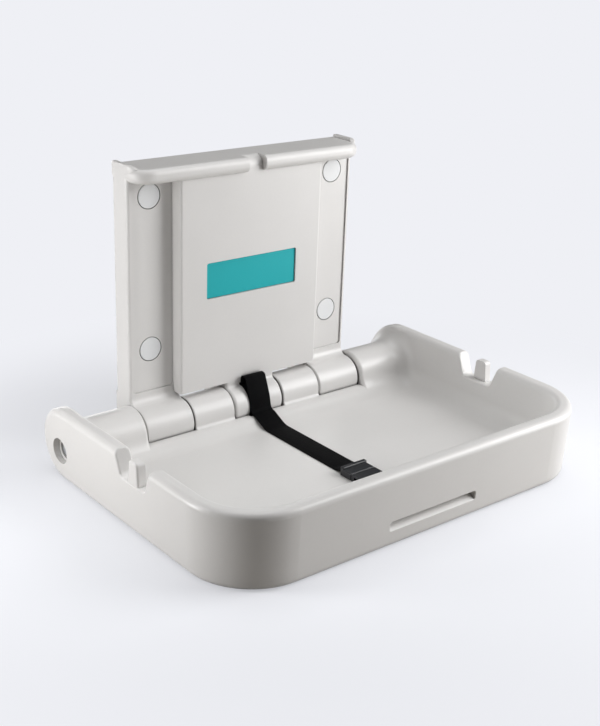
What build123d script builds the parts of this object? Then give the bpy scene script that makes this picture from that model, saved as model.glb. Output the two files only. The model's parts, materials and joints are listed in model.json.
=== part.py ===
from build123d import *

import os
from math import atan2, cos, degrees, radians, sin, sqrt

# Wall-mounted folding baby changing station: a moulded back panel, a tub-shaped bed that
# folds up over it on a rod hinge, and a safety strap with a buckle.
# The origin is the centre of the four wall bolts, on the wall plane. +X runs to the right
# along the hinge, +Y points into the wall and +Z points up. Lengths are in millimetres.
# Heights and depths that belong to the hinge are given from its axis: forward is -Y.

# Wall fixing
bolt_spacing_x = 434.0
bolt_spacing_z = 296.0
bolt_hole_diameter = 11.0
hinge_to_wall = 87.0
hinge_below_bolts = 297.5

# Bed moulding, from the hinge axis
bed_width = 860.0
bed_front = 546.0
bed_rear = 65.0
bed_bottom = 57.0
bed_rim = 82.0
bed_draft = 6.0
bed_corner_radius = 130.0
bed_edge_radius = 12.0
rim_width = 30.0
rim_edge_radius = 11.0
tub_floor = 28.0
tub_draft = 5.0
tub_floor_radius = 36.0
shoulder_radius = 50.0
shoulder_blend = 45.0
shoulder_fall_angle = 40.0
shoulder_end_radius = 6.5

# Hinge knuckles
knuckle_radius = 42.0
knuckle_gap = 1.5
center_knuckle_half = 60.0
bed_knuckle_end = 156.0
knuckle_edge_chamfer = 1.5
outer_knuckle_chamfer = 4.0
knuckle_foot_radius = 8.0
center_knuckle_edge = 8.0
center_cove_radius = 8.0
outer_cove_radius = 18.0
pocket_clearance = 1.5
hinge_shelf = 12.0
shelf_edge_radius = 26.0
stop_face = 6.0
stop_clearance = 0.3

# Hooks in the side rims
hook_center = 254.0
hook_notch_top = 108.0
hook_notch_bottom = 74.0
hook_notch_depth = 45.0
hook_notch_radius = 11.0
hook_post_top = 26.0
hook_post_bottom = 34.0
hook_post_drop = 3.0
hook_post_thickness = 17.0
hook_post_radius = 7.0
hook_edge_radius = 4.0

# Finger grip in the front wall
grip_width = 205.0
grip_height = 18.0
grip_depth = 22.0
grip_back_height = 3.0
grip_below_axis = 17.0
grip_radius = 5.0
grip_edge_radius = 1.5

# Back panel, from the hinge axis
bolts_to_side = 48.5
bolts_to_raised = 50.0
bolts_to_ledge = 29.0
panel_face = 18.0
panel_depth = 50.0
panel_bottom = 53.0
panel_edge_radius = 6.0
raised_thickness = 26.0
raised_edge_radius = 5.0
column_recess = 3.0
column_border = 7.0
column_corner_radius = 8.0
column_foot_step = 6.0
column_top_step = 1.0

# Ledge along the top of the panel
ledge_thickness = 28.0
ledge_overhang = 13.0
ledge_nose_radius = 12.0
ledge_lip_height = 5.0
ledge_lip_width = 9.0
ledge_gap = 40.0
ledge_gap_round = 22.0

# Sign plate
sign_width = 214.0
sign_height = 70.0
sign_below_bolts = 25.5
sign_thickness = 1.5
sign_recess = 4.5
sign_corner_radius = 4.0
sign_clearance = 0.8

# Bolt caps and sleeves
cap_diameter = 46.0
cap_ring_gap = 1.5
cap_thickness = 5.0
cap_proud = 0.5
cap_edge_chamfer = 0.8
cap_seat_width = 3.0
bolt_well_depth = 29.0
sleeve_diameter = 20.0

# Back cover
cover_inset = 28.0
cover_below_bolts = 74.0
cover_above_bolts = 33.0
cover_corner_radius = 24.0
cover_edge_chamfer = 4.0
cover_screw_diameter = 4.0
cover_screw_head_diameter = 8.0
cover_screw_head_height = 2.6
cover_screw_length = 26.0
cover_screw_inset = 14.0
cover_screw_sink = 5.0

# Hinge hardware
rod_diameter = 16.0
rod_end_inset = 14.0
rod_end_chamfer = 1.0
rod_flat_height = 6.5
rod_clearance = 0.05
counterbore_diameter = 50.0
counterbore_depth = 16.0
nut_well_diameter = 37.0
nut_well_depth = 14.0
washer_diameter = 34.0
washer_thickness = 3.0
nut_across_flats = 24.0
nut_height = 11.0
bush_diameter = 26.0
bush_length = 22.0
damper_diameter = 52.0
damper_flat_height = 23.0
damper_wall = 5.0
damper_cover = 3.0
rotor_clearance = 0.3
fit_clearance = 0.05

# Strap and buckle
strap_width = 50.0
strap_thickness = 2.0
strap_clearance = 0.4
strap_slot_width = 56.0
strap_slot_depth = 6.0
strap_crest_height = 63.0
strap_crest_width = 13.0
strap_touch_angle = 152.0
strap_radii = [4.0, 5.0, 5.0, 40.0, 12.0, 20.0, 40.0, 20.0, 20.0]
buckle_to_front = 220.0
buckle_width = 58.0
buckle_thickness = 13.0
buckle_edge_radius = 2.5
plug_length = 30.0
plug_bar_length = 9.0
plug_bar_rise = 4.0
plug_bar_chamfer = 1.2
tongue_length = 34.0
tongue_thickness = 5.0
tongue_arm_width = 9.0
tongue_guide_width = 12.0
tongue_spread = 36.0
tongue_clearance = 0.3
socket_length = 52.0
buckle_gap = 0.3
webbing_grip = 14.0
webbing_lift = 4.0
webbing_rise = 24.0
webbing_slot_height = 3.0
front_strap_inset = 2.0
front_strap_radius = 16.0
anchor_to_front_wall = 42.0
anchor_length = 24.0
anchor_width = 84.0
anchor_thickness = 2.0
anchor_screw_spacing = 66.0
anchor_screw_diameter = 4.0
anchor_screw_length = 14.0
anchor_screw_head_diameter = 8.0
anchor_screw_head_height = 2.4

# Derived sizes
hinge_y = -hinge_to_wall
hinge_z = -hinge_below_bolts
upper_bolts = hinge_below_bolts + bolt_spacing_z / 2
lower_bolts = hinge_below_bolts - bolt_spacing_z / 2
panel_width = bolt_spacing_x + 2 * bolts_to_side
raised_width = bolt_spacing_x - 2 * bolts_to_raised
bed_half = bed_width / 2
panel_half = panel_width / 2
bay_half = panel_half + knuckle_gap
tub_half = bed_half - rim_width
tub_front = bed_front - rim_width
buckle_rear = bed_front - buckle_to_front
anchor_rear = tub_front - anchor_to_front_wall - anchor_length
front_strap_end = anchor_rear + anchor_length - front_strap_inset
panel_rear = panel_face + panel_depth
raised_face = panel_face - raised_thickness
column_face = panel_face + column_recess
ledge_front = raised_face - ledge_overhang
ledge_bottom = upper_bolts + bolts_to_ledge
panel_top = ledge_bottom + ledge_thickness
cover_bottom = lower_bolts - cover_below_bolts
cover_top = upper_bolts + cover_above_bolts
sign_above_axis = hinge_below_bolts - sign_below_bolts
rod_radius = rod_diameter / 2
rod_half = bed_half - rod_end_inset
pocket_radius = knuckle_radius + pocket_clearance
strap_pocket_radius = knuckle_radius + strap_slot_depth + pocket_clearance
bed_half_height = (bed_rim + bed_bottom) / 2
bed_mid_height = (bed_rim - bed_bottom) / 2
cheek_center = bed_rear - bed_half_height
bolt_well_diameter = cap_diameter + 2 * cap_ring_gap
reach = 2 * bed_front
plan_tail = 2 * bed_rear


def side_plane(x=0.0):
    """Plane square to the hinge at x; its axes are depth towards the wall and height."""
    return Plane(origin=(x, hinge_y, hinge_z), x_dir=(0, 1, 0), z_dir=(1, 0, 0))


def plan_plane(height=0.0):
    """Level plane at a height over the hinge axis, seen from above."""
    return Plane(origin=(0, hinge_y, hinge_z + height), x_dir=(1, 0, 0), z_dir=(0, 0, 1))


def front_plane(depth=0.0):
    """Upright plane at a depth from the hinge axis, facing forward."""
    return Plane(origin=(0, hinge_y + depth, hinge_z), x_dir=(1, 0, 0), z_dir=(0, -1, 0))


def on_circle(radius, angle, center=(0.0, 0.0)):
    """Point on a circle in the side plane; the angle is from the wall side, upwards."""
    return (center[0] + radius * cos(radians(angle)), center[1] + radius * sin(radians(angle)))


def both_sides(start, end):
    """Start of an X span on the left and on the right, each to be extruded by its length."""
    return (-end, start)


os.makedirs("parts", exist_ok=True)

# Tub cavity: the hollow the baby lies in; the rear shoulders are left standing under it
blend_depth = -sqrt((shoulder_radius + shoulder_blend) ** 2 - (shoulder_blend - tub_floor) ** 2)
blend_angle = degrees(atan2(shoulder_blend - tub_floor, blend_depth))
blend_start = (blend_depth, -tub_floor)
blend_end = on_circle(shoulder_radius, blend_angle)
fall_start = on_circle(shoulder_radius, shoulder_fall_angle)
fall_end = (
    fall_start[0] + shoulder_radius * sin(radians(shoulder_fall_angle)),
    fall_start[1] - shoulder_radius * cos(radians(shoulder_fall_angle)),
)
tub_corner = bed_corner_radius - rim_width
washer_start = bed_half - counterbore_depth - nut_well_depth

with BuildPart() as tub_cavity:
    for height, inset in ((-tub_floor, tub_draft), (bed_rim + rim_width, 0.0)):
        with BuildSketch(plan_plane(height)) as tub_outline:
            with Locations((0, (plan_tail - tub_front + inset) / 2)):
                Rectangle(2 * (tub_half - inset), plan_tail + tub_front - inset)
            fillet(tub_outline.vertices().group_by(Axis.Y)[0], tub_corner - inset)
    loft(ruled=True)
    with BuildSketch(side_plane(-bed_half)):
        with BuildLine():
            Line((-reach, -tub_floor), blend_start)
            RadiusArc(blend_start, blend_end, -shoulder_blend)
            ThreePointArc(
                blend_end,
                on_circle(shoulder_radius, (blend_angle + shoulder_fall_angle) / 2),
                fall_start,
            )
            Polyline(
                fall_start,
                fall_end,
                (reach, fall_end[1]),
                (reach, reach),
                (-reach, reach),
                (-reach, -tub_floor),
            )
        make_face()
    extrude(amount=bed_width, mode=Mode.INTERSECT)
    wall_foot = tub_cavity.edges().filter_by(
        lambda edge: edge.center().Z < hinge_z + shoulder_radius
        and edge.center().Y < hinge_y + fall_end[0]
        and (abs(edge.center().X) > tub_half / 2 or edge.center().Y < hinge_y - tub_front / 2)
        and edge.bounding_box().size.Z < bed_rim
    )
    fillet(wall_foot, tub_floor_radius)

# Bed knuckles: each a barrel with a hollow foot that runs out on the shelf of the hinge bay
foot_reach = knuckle_radius + knuckle_foot_radius
foot_rise = knuckle_foot_radius - hinge_shelf
foot_center = (-sqrt(foot_reach**2 - foot_rise**2), foot_rise)
foot_angle = degrees(atan2(-foot_center[1], -foot_center[0]))
foot_start = on_circle(knuckle_foot_radius, -90, foot_center)
foot_middle = on_circle(knuckle_foot_radius, (foot_angle - 90) / 2, foot_center)
foot_end = on_circle(knuckle_foot_radius, foot_angle, foot_center)
bed_knuckle_length = bed_knuckle_end - center_knuckle_half - 2 * knuckle_gap
bed_knuckles = []
for start in both_sides(center_knuckle_half + knuckle_gap, bed_knuckle_end - knuckle_gap):
    with BuildPart() as bed_knuckle:
        with BuildSketch(side_plane(start)):
            Circle(knuckle_radius)
            with BuildLine():
                ThreePointArc(foot_start, foot_middle, foot_end)
                Polyline(
                    foot_end,
                    (0, 0),
                    (0, foot_start[1] - knuckle_foot_radius),
                    (foot_start[0], foot_start[1] - knuckle_foot_radius),
                    foot_start,
                )
            make_face()
        extrude(amount=bed_knuckle_length)
        barrel_ends = bed_knuckle.edges().filter_by(GeomType.CIRCLE).filter_by(
            lambda edge: abs(edge.radius - knuckle_radius) < fit_clearance
        )
        chamfer(barrel_ends, knuckle_edge_chamfer)
    bed_knuckles.append(bed_knuckle.part)

# Hook posts: each stands at the outer side of the notch in its side rim
notch_floor = bed_rim - hook_notch_depth
hook_posts = []
for side in (-1, 1):
    with BuildPart() as hook_post:
        with BuildSketch(side_plane(side * (bed_half - bed_draft / 2))) as post_profile:
            with BuildLine():
                Polyline(
                    (-hook_center - hook_post_bottom / 2, notch_floor - hook_notch_radius),
                    (-hook_center + hook_post_bottom / 2, notch_floor - hook_notch_radius),
                    (-hook_center + hook_post_top / 2, bed_rim - hook_post_drop),
                    (-hook_center - hook_post_top / 2, bed_rim - hook_post_drop),
                    close=True,
                )
            make_face()
            fillet(post_profile.vertices().group_by(Axis.Y)[-1], hook_post_radius)
        extrude(amount=-side * hook_post_thickness)
        post_edges = hook_post.edges().filter_by(
            lambda edge: edge.center().Z > hinge_z + notch_floor
            and abs(edge.center().X) > bed_half - hook_post_thickness / 2
            and edge.bounding_box().size.X < fit_clearance
        )
        fillet(post_edges, hook_edge_radius)
    hook_posts.append(hook_post.part)

# Finger grip: a slot whose lower face rises to the rear
grip_face = bed_front - bed_draft * (bed_rim + grip_below_axis) / (bed_rim + bed_bottom)
grip_top = -grip_below_axis + grip_height / 2
grip_bottom = -grip_below_axis - grip_height / 2
with BuildPart() as grip_cut:
    with BuildSketch(front_plane(-grip_face - grip_depth)):
        with Locations((0, -grip_below_axis)):
            RectangleRounded(grip_width, grip_height, grip_radius)
    extrude(amount=-2 * grip_depth)
    with BuildSketch(side_plane(-grip_width)):
        with BuildLine():
            Polyline(
                (-grip_face - grip_depth, grip_bottom),
                (-grip_face, grip_bottom),
                (-grip_face + grip_depth, grip_top - grip_back_height),
                (-grip_face + grip_depth, grip_top),
                (-grip_face - grip_depth, grip_top),
                close=True,
            )
        make_face()
    extrude(amount=2 * grip_width, mode=Mode.INTERSECT)

# Bed moulding
with BuildPart() as bed_shell:
    for height, inset in ((-bed_bottom, bed_draft), (bed_rim, 0.0)):
        with BuildSketch(plan_plane(height)) as bed_outline:
            with Locations((0, (plan_tail - bed_front + inset) / 2)):
                Rectangle(2 * (bed_half - inset), plan_tail + bed_front - inset)
            fillet(bed_outline.vertices().group_by(Axis.Y)[0], bed_corner_radius - inset)
    loft(ruled=True)
    with BuildSketch(side_plane(-bed_half)):
        with BuildLine():
            Polyline(
                (cheek_center, -bed_bottom),
                (-reach, -bed_bottom),
                (-reach, bed_rim),
                (cheek_center, bed_rim),
            )
            ThreePointArc((cheek_center, bed_rim), (bed_rear, bed_mid_height), (cheek_center, -bed_bottom))
        make_face()
    extrude(amount=bed_width, mode=Mode.INTERSECT)
    outer_edges = bed_shell.edges().filter_by(
        lambda edge: not (edge.bounding_box().size.X > bed_half and edge.center().Y > hinge_y - bed_rear)
        and not (edge.bounding_box().size.Z > bed_rim and edge.center().Y < hinge_y - bed_rear)
    )
    fillet(outer_edges, bed_edge_radius)
    add(tub_cavity.part, mode=Mode.SUBTRACT)
    tub_edges = bed_shell.edges().filter_by(lambda edge: edge.distance_to(tub_cavity.part) < fit_clearance)
    mouth_edges = tub_edges.filter_by(
        lambda edge: edge.bounding_box().min.Z > hinge_z + bed_rim - fit_clearance
        and edge.center().Y < hinge_y + cheek_center - fit_clearance
    )
    cheek_edges = tub_edges.filter_by(
        lambda edge: edge.center().Z > hinge_z + fall_start[1]
        and edge.center().Y > hinge_y + cheek_center + fit_clearance
        and abs(edge.center().X) > tub_half - tub_floor_radius
    )
    fillet(mouth_edges + cheek_edges, rim_edge_radius)

    # Hinge bay: cut deep so that the shoulders' ends can be rounded, then filled to its shelf
    bay_floor = tub_floor + 3 * shoulder_end_radius
    bay_front = blend_depth - tub_floor_radius
    with BuildSketch(side_plane(-bay_half)):
        with BuildLine():
            Polyline(
                (bay_front, -bay_floor),
                (stop_face - stop_clearance, -bay_floor),
                (stop_face - stop_clearance, -reach),
                (reach, -reach),
                (reach, reach),
                (bay_front, reach),
                close=True,
            )
        make_face()
    extrude(amount=2 * bay_half, mode=Mode.SUBTRACT)
    shoulder_ends = bed_shell.edges().filter_by(
        lambda edge: abs(abs(edge.center().X) - bay_half) < fit_clearance
        and edge.bounding_box().size.X < fit_clearance
        and edge.center().Z > hinge_z - tub_floor + fit_clearance
        and hinge_y + bay_front + fit_clearance < edge.center().Y < hinge_y + fall_start[0]
    )
    fillet(shoulder_ends, shoulder_end_radius)
    shelf_drop = shoulder_blend - tub_floor + hinge_shelf
    shelf_edge_depth = blend_depth + sqrt(shoulder_blend**2 - shelf_drop**2)
    shelf_half = bay_half + shoulder_end_radius
    with BuildSketch(side_plane(-shelf_half)) as shelf_profile:
        with BuildLine():
            Polyline(
                (shelf_edge_depth, -hinge_shelf),
                (stop_face - stop_clearance, -hinge_shelf),
                (stop_face - stop_clearance, -bed_bottom),
                (bay_front - tub_floor_radius, -bed_bottom),
                (bay_front - tub_floor_radius, -tub_floor),
                blend_start,
            )
            RadiusArc(blend_start, (shelf_edge_depth, -hinge_shelf), -shoulder_blend)
        make_face()
        shelf_edge = shelf_profile.vertices().sort_by_distance((shelf_edge_depth, -hinge_shelf))[0]
        fillet(shelf_edge, shelf_edge_radius)
    extrude(amount=2 * shelf_half)

    # Bed knuckles, then the pockets that the panel's knuckles turn in
    for knuckle in bed_knuckles:
        add(knuckle)
    for start in both_sides(bed_knuckle_end - knuckle_gap, bay_half):
        with BuildSketch(side_plane(start)):
            Circle(pocket_radius)
        extrude(amount=bay_half - bed_knuckle_end + knuckle_gap, mode=Mode.SUBTRACT)
    with BuildSketch(side_plane(-center_knuckle_half - knuckle_gap)):
        Circle(pocket_radius)
    extrude(amount=2 * (center_knuckle_half + knuckle_gap), mode=Mode.SUBTRACT)
    with BuildSketch(side_plane(-strap_slot_width / 2)):
        Circle(strap_pocket_radius)
    extrude(amount=strap_slot_width, mode=Mode.SUBTRACT)

    # Hooks: a soft notch right through each side rim, with a post at its outer side
    for side in (-1, 1):
        with BuildSketch(side_plane(side * bed_half)) as notch_profile:
            with BuildLine():
                Polyline(
                    (-hook_center - hook_notch_top / 2, bed_rim),
                    (-hook_center - hook_notch_bottom / 2, notch_floor),
                    (-hook_center + hook_notch_bottom / 2, notch_floor),
                    (-hook_center + hook_notch_top / 2, bed_rim),
                    (-hook_center + hook_notch_top / 2, bed_rim + rim_width),
                    (-hook_center - hook_notch_top / 2, bed_rim + rim_width),
                    close=True,
                )
            make_face()
            fillet(notch_profile.vertices().group_by(Axis.Y)[0], hook_notch_radius)
        extrude(amount=-side * 2 * rim_width, mode=Mode.SUBTRACT)
    notch_edges = bed_shell.edges().filter_by(
        lambda edge: edge.bounding_box().min.Z > hinge_z + notch_floor - fit_clearance
        and edge.bounding_box().min.Y > hinge_y - hook_center - hook_notch_top / 2 - fit_clearance
        and edge.bounding_box().max.Y < hinge_y - hook_center + hook_notch_top / 2 + fit_clearance
        and edge.bounding_box().size.X < rim_width / 2
    )
    fillet(notch_edges, hook_edge_radius)
    for post in hook_posts:
        add(post)

    # Finger grip in the front wall
    add(grip_cut.part, mode=Mode.SUBTRACT)
    grip_mouth = bed_shell.edges().filter_by(
        lambda edge: edge.center().Y < hinge_y - bed_front + bed_draft
        and abs(edge.center().X) < (grip_width + grip_radius) / 2
        and abs(edge.center().Z - hinge_z + grip_below_axis) < (grip_height + grip_radius) / 2
    )
    fillet(grip_mouth, grip_edge_radius)

    # Screw holes of the strap anchor
    with BuildSketch(plan_plane(-tub_floor)):
        with Locations((0, -anchor_rear - anchor_length / 2)):
            with GridLocations(anchor_screw_spacing, 1, 2, 1):
                Circle(anchor_screw_diameter / 2 + fit_clearance)
    extrude(amount=-anchor_screw_length, mode=Mode.SUBTRACT)

    # Rod bore and the counterbores for its nuts
    with BuildSketch(side_plane(-bed_half)):
        Circle(rod_radius + fit_clearance)
    extrude(amount=bed_width, mode=Mode.SUBTRACT)
    for start in both_sides(bed_half - counterbore_depth, bed_half):
        with BuildSketch(side_plane(start)):
            Circle(counterbore_diameter / 2)
        extrude(amount=counterbore_depth, mode=Mode.SUBTRACT)
    for start in both_sides(washer_start, bed_half):
        with BuildSketch(side_plane(start)):
            Circle(nut_well_diameter / 2)
        extrude(amount=counterbore_depth + nut_well_depth, mode=Mode.SUBTRACT)
bed_shell.part.label = "bed_shell"
export_step(bed_shell.part, "parts/bed_shell.step")

# Ledge along the top of the panel: a round nose whose ends curve back to the panel's sides
with BuildPart() as ledge_block:
    with BuildSketch(plan_plane(ledge_bottom)) as ledge_outline:
        with Locations((0, (ledge_front + panel_rear) / 2)):
            Rectangle(panel_width, panel_rear - ledge_front)
        fillet(ledge_outline.vertices().group_by(Axis.Y)[0], panel_face - ledge_front)
    extrude(amount=ledge_thickness)
    nose_edges = ledge_block.edges().filter_by(
        lambda edge: edge.bounding_box().size.Z < fit_clearance
        and edge.center().Y < hinge_y + panel_face - fit_clearance
    )
    fillet(nose_edges, ledge_nose_radius)
    with BuildSketch(side_plane(-ledge_gap / 2)):
        with BuildLine():
            Polyline(
                (raised_face, panel_top - ledge_gap_round),
                (raised_face, ledge_bottom - ledge_thickness),
                (-reach, ledge_bottom - ledge_thickness),
                (-reach, reach),
                (raised_face + ledge_gap_round, reach),
                (raised_face + ledge_gap_round, panel_top),
            )
            RadiusArc(
                (raised_face + ledge_gap_round, panel_top),
                (raised_face, panel_top - ledge_gap_round),
                -ledge_gap_round,
            )
        make_face()
    extrude(amount=ledge_gap, mode=Mode.SUBTRACT)

# Outer knuckles of the panel, each with a cove up to its column and a heel that stops the bed
outer_cove_depth = panel_face - outer_cove_radius
outer_cove_height = sqrt((knuckle_radius + outer_cove_radius) ** 2 - outer_cove_depth**2)
outer_cove_center = (outer_cove_depth, outer_cove_height)
outer_cove_angle = degrees(atan2(-outer_cove_height, -outer_cove_depth))
outer_cove_end = on_circle(outer_cove_radius, outer_cove_angle, outer_cove_center)
outer_cove_middle = on_circle(outer_cove_radius, outer_cove_angle / 2, outer_cove_center)
heel_center = ((stop_face + panel_rear) / 2, -bed_bottom / 2)
outer_knuckles = []
for start in both_sides(bed_knuckle_end, panel_half):
    with BuildPart() as outer_knuckle:
        with BuildSketch(side_plane(start)):
            with BuildLine():
                Polyline(
                    (panel_face, outer_cove_height),
                    (panel_rear, outer_cove_height),
                    (panel_rear, -knuckle_radius),
                    (0, -knuckle_radius),
                )
                ThreePointArc((0, -knuckle_radius), (-knuckle_radius, 0), outer_cove_end)
                ThreePointArc(outer_cove_end, outer_cove_middle, (panel_face, outer_cove_height))
            make_face()
        extrude(amount=panel_half - bed_knuckle_end)
        barrel_ends = outer_knuckle.edges().filter_by(GeomType.CIRCLE).filter_by(
            lambda edge: abs(edge.radius - knuckle_radius) < fit_clearance
        )
        chamfer(barrel_ends, outer_knuckle_chamfer)
        with BuildSketch(side_plane(start)):
            with Locations(heel_center):
                Rectangle(panel_rear - stop_face, bed_bottom)
        extrude(amount=panel_half - bed_knuckle_end)
    outer_knuckles.append(outer_knuckle.part)

# Centre knuckle, which flows out of the raised middle of the panel
center_cove_depth = raised_face - center_cove_radius
center_cove_height = sqrt((knuckle_radius + center_cove_radius) ** 2 - center_cove_depth**2)
center_cove_center = (center_cove_depth, center_cove_height)
center_cove_angle = degrees(atan2(-center_cove_height, -center_cove_depth))
center_cove_end = on_circle(center_cove_radius, center_cove_angle, center_cove_center)
center_cove_middle = on_circle(center_cove_radius, center_cove_angle / 2, center_cove_center)
with BuildPart() as center_knuckle:
    with BuildSketch(side_plane(-center_knuckle_half)):
        with BuildLine():
            Polyline(
                (raised_face, center_cove_height),
                (raised_face, panel_bottom + knuckle_radius),
                (panel_rear, panel_bottom + knuckle_radius),
                (panel_rear, -knuckle_radius),
                (0, -knuckle_radius),
            )
            ThreePointArc((0, -knuckle_radius), (-knuckle_radius, 0), center_cove_end)
            ThreePointArc(center_cove_end, center_cove_middle, (raised_face, center_cove_height))
        make_face()
    extrude(amount=2 * center_knuckle_half)
    barrel_ends = center_knuckle.edges().filter_by(GeomType.CIRCLE).filter_by(
        lambda edge: abs(edge.radius - knuckle_radius) < fit_clearance
    )
    fillet(barrel_ends, center_knuckle_edge)
    with BuildSketch(side_plane(-center_knuckle_half)):
        with Locations(heel_center):
            Rectangle(panel_rear - stop_face, bed_bottom)
    extrude(amount=2 * center_knuckle_half)

# Panel moulding
bolt_places = [
    (x, hinge_below_bolts + z)
    for x in (-bolt_spacing_x / 2, bolt_spacing_x / 2)
    for z in (-bolt_spacing_z / 2, bolt_spacing_z / 2)
]
column_width = panel_half - column_border - raised_width / 2
column_top = ledge_bottom - column_top_step
column_foot = outer_cove_height + column_foot_step
damper_start = bed_knuckle_end + bush_length
cover_screw_places = [
    (x, z)
    for x in (-panel_half + cover_inset + cover_screw_inset, panel_half - cover_inset - cover_screw_inset)
    for z in (cover_bottom + cover_screw_inset, cover_top - cover_screw_inset)
]

with BuildPart() as panel_shell:
    with BuildSketch(plan_plane(panel_bottom)):
        with Locations((0, panel_face + panel_depth / 2)):
            RectangleRounded(panel_width, panel_depth, panel_edge_radius)
    extrude(amount=panel_top - panel_bottom)
    with BuildSketch(plan_plane(panel_bottom)) as raised_outline:
        with Locations((0, raised_face + raised_thickness / 2 + panel_depth / 4)):
            Rectangle(raised_width, raised_thickness + panel_depth / 2)
        fillet(raised_outline.vertices().group_by(Axis.Y)[0], raised_edge_radius)
    extrude(amount=panel_top - ledge_gap_round - panel_bottom)
    add(ledge_block.part)

    # Upright lips that end the ledge's tray
    for start in both_sides(panel_half - ledge_lip_width, panel_half):
        with BuildSketch(side_plane(start)) as lip_profile:
            with Locations((panel_face + panel_depth / 2, panel_top)):
                Rectangle(panel_depth, 2 * ledge_lip_height)
            fillet(lip_profile.vertices().group_by(Axis.Y)[-1], ledge_lip_height - fit_clearance)
        extrude(amount=ledge_lip_width)

    # Shallow recess down each bolt column
    with BuildSketch(front_plane(panel_face)):
        for side in (-1, 1):
            with Locations((side * (raised_width + column_width) / 2, (column_foot + column_top) / 2)):
                RectangleRounded(column_width, column_top - column_foot, column_corner_radius)
    extrude(amount=-column_recess, mode=Mode.SUBTRACT)

    # Knuckles, and the slot round the centre one that the strap is looped through
    for knuckle in outer_knuckles:
        add(knuckle)
    add(center_knuckle.part)
    with BuildSketch(side_plane(-strap_slot_width / 2)):
        Circle(knuckle_radius + strap_slot_depth)
        Circle(knuckle_radius, mode=Mode.SUBTRACT)
    extrude(amount=strap_slot_width, mode=Mode.SUBTRACT)

    # Hinge bores: a bush in each knuckle and a damper in each outer one
    with BuildSketch(side_plane(-center_knuckle_half)):
        Circle(bush_diameter / 2 + fit_clearance)
    extrude(amount=2 * center_knuckle_half, mode=Mode.SUBTRACT)
    for start in both_sides(bed_knuckle_end, panel_half):
        with BuildSketch(side_plane(start)):
            Circle(bush_diameter / 2 + fit_clearance)
        extrude(amount=panel_half - bed_knuckle_end, mode=Mode.SUBTRACT)
    for start in both_sides(damper_start, panel_half):
        with BuildSketch(side_plane(start)):
            Circle(damper_diameter / 2 + fit_clearance)
            with Locations((0, damper_flat_height + fit_clearance + damper_diameter / 2)):
                Rectangle(damper_diameter, damper_diameter, mode=Mode.SUBTRACT)
        extrude(amount=panel_half - damper_start, mode=Mode.SUBTRACT)

    # Bolt wells with a seat for the cap, sleeve holes and the sign's recess
    with BuildSketch(front_plane(column_face)):
        with Locations(*bolt_places):
            Circle(bolt_well_diameter / 2)
    extrude(amount=-cap_thickness + cap_proud, mode=Mode.SUBTRACT)
    with BuildSketch(front_plane(column_face)):
        with Locations(*bolt_places):
            Circle(cap_diameter / 2 - cap_seat_width)
    extrude(amount=-bolt_well_depth, mode=Mode.SUBTRACT)
    with BuildSketch(front_plane(column_face)):
        with Locations(*bolt_places):
            Circle(sleeve_diameter / 2 + fit_clearance)
    extrude(amount=-panel_depth, mode=Mode.SUBTRACT)
    with BuildSketch(front_plane(raised_face)):
        with Locations((0, sign_above_axis)):
            RectangleRounded(
                sign_width + 2 * sign_clearance,
                sign_height + 2 * sign_clearance,
                sign_corner_radius,
            )
    extrude(amount=-sign_recess, mode=Mode.SUBTRACT)

    # Blind holes for the back cover's screws
    with BuildSketch(front_plane(panel_rear)):
        with Locations(*cover_screw_places):
            Circle(cover_screw_diameter / 2 + fit_clearance)
    extrude(amount=cover_screw_length, mode=Mode.SUBTRACT)
panel_shell.part.label = "panel_shell"
export_step(panel_shell.part, "parts/panel_shell.step")

# Back cover between the panel and the wall
cover_width = panel_width - 2 * cover_inset
cover_height = cover_top - cover_bottom
cover_thickness = hinge_to_wall - panel_rear
with BuildPart() as panel_back_cover:
    with BuildSketch(front_plane(hinge_to_wall)):
        with Locations((0, (cover_top + cover_bottom) / 2)):
            RectangleRounded(cover_width, cover_height, cover_corner_radius)
    extrude(amount=cover_thickness)
    chamfer(panel_back_cover.faces().sort_by(Axis.Y)[-1].edges(), cover_edge_chamfer)
    with BuildSketch(front_plane(hinge_to_wall)):
        with Locations(*bolt_places):
            Circle(sleeve_diameter / 2 + fit_clearance)
        with Locations(*cover_screw_places):
            Circle(cover_screw_diameter / 2 + fit_clearance)
    extrude(amount=cover_thickness, mode=Mode.SUBTRACT)
    with BuildSketch(front_plane(hinge_to_wall)):
        with Locations(*cover_screw_places):
            Circle(cover_screw_head_diameter / 2 + strap_clearance)
    extrude(amount=cover_screw_sink, mode=Mode.SUBTRACT)
panel_back_cover.part.label = "panel_back_cover"
export_step(panel_back_cover.part, "parts/panel_back_cover.step")

# Screws that hold the back cover, sunk below the wall plane
screw_seat = hinge_to_wall - cover_screw_sink
with BuildPart() as cover_screws:
    with BuildSketch(front_plane(screw_seat)):
        with Locations(*cover_screw_places):
            Circle(cover_screw_head_diameter / 2)
    extrude(amount=-cover_screw_head_height)
    with BuildSketch(front_plane(screw_seat)):
        with Locations(*cover_screw_places):
            Circle(cover_screw_diameter / 2)
    extrude(amount=cover_screw_length)
cover_screws.part.label = "cover_screws"
export_step(cover_screws.part, "parts/cover_screws.step")

# Bare sign plate
with BuildPart() as sign_plate:
    with BuildSketch(front_plane(raised_face + sign_recess)):
        with Locations((0, sign_above_axis)):
            RectangleRounded(sign_width, sign_height, sign_corner_radius)
    extrude(amount=sign_thickness)
sign_plate.part.label = "sign_plate"
export_step(sign_plate.part, "parts/sign_plate.step")

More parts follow.
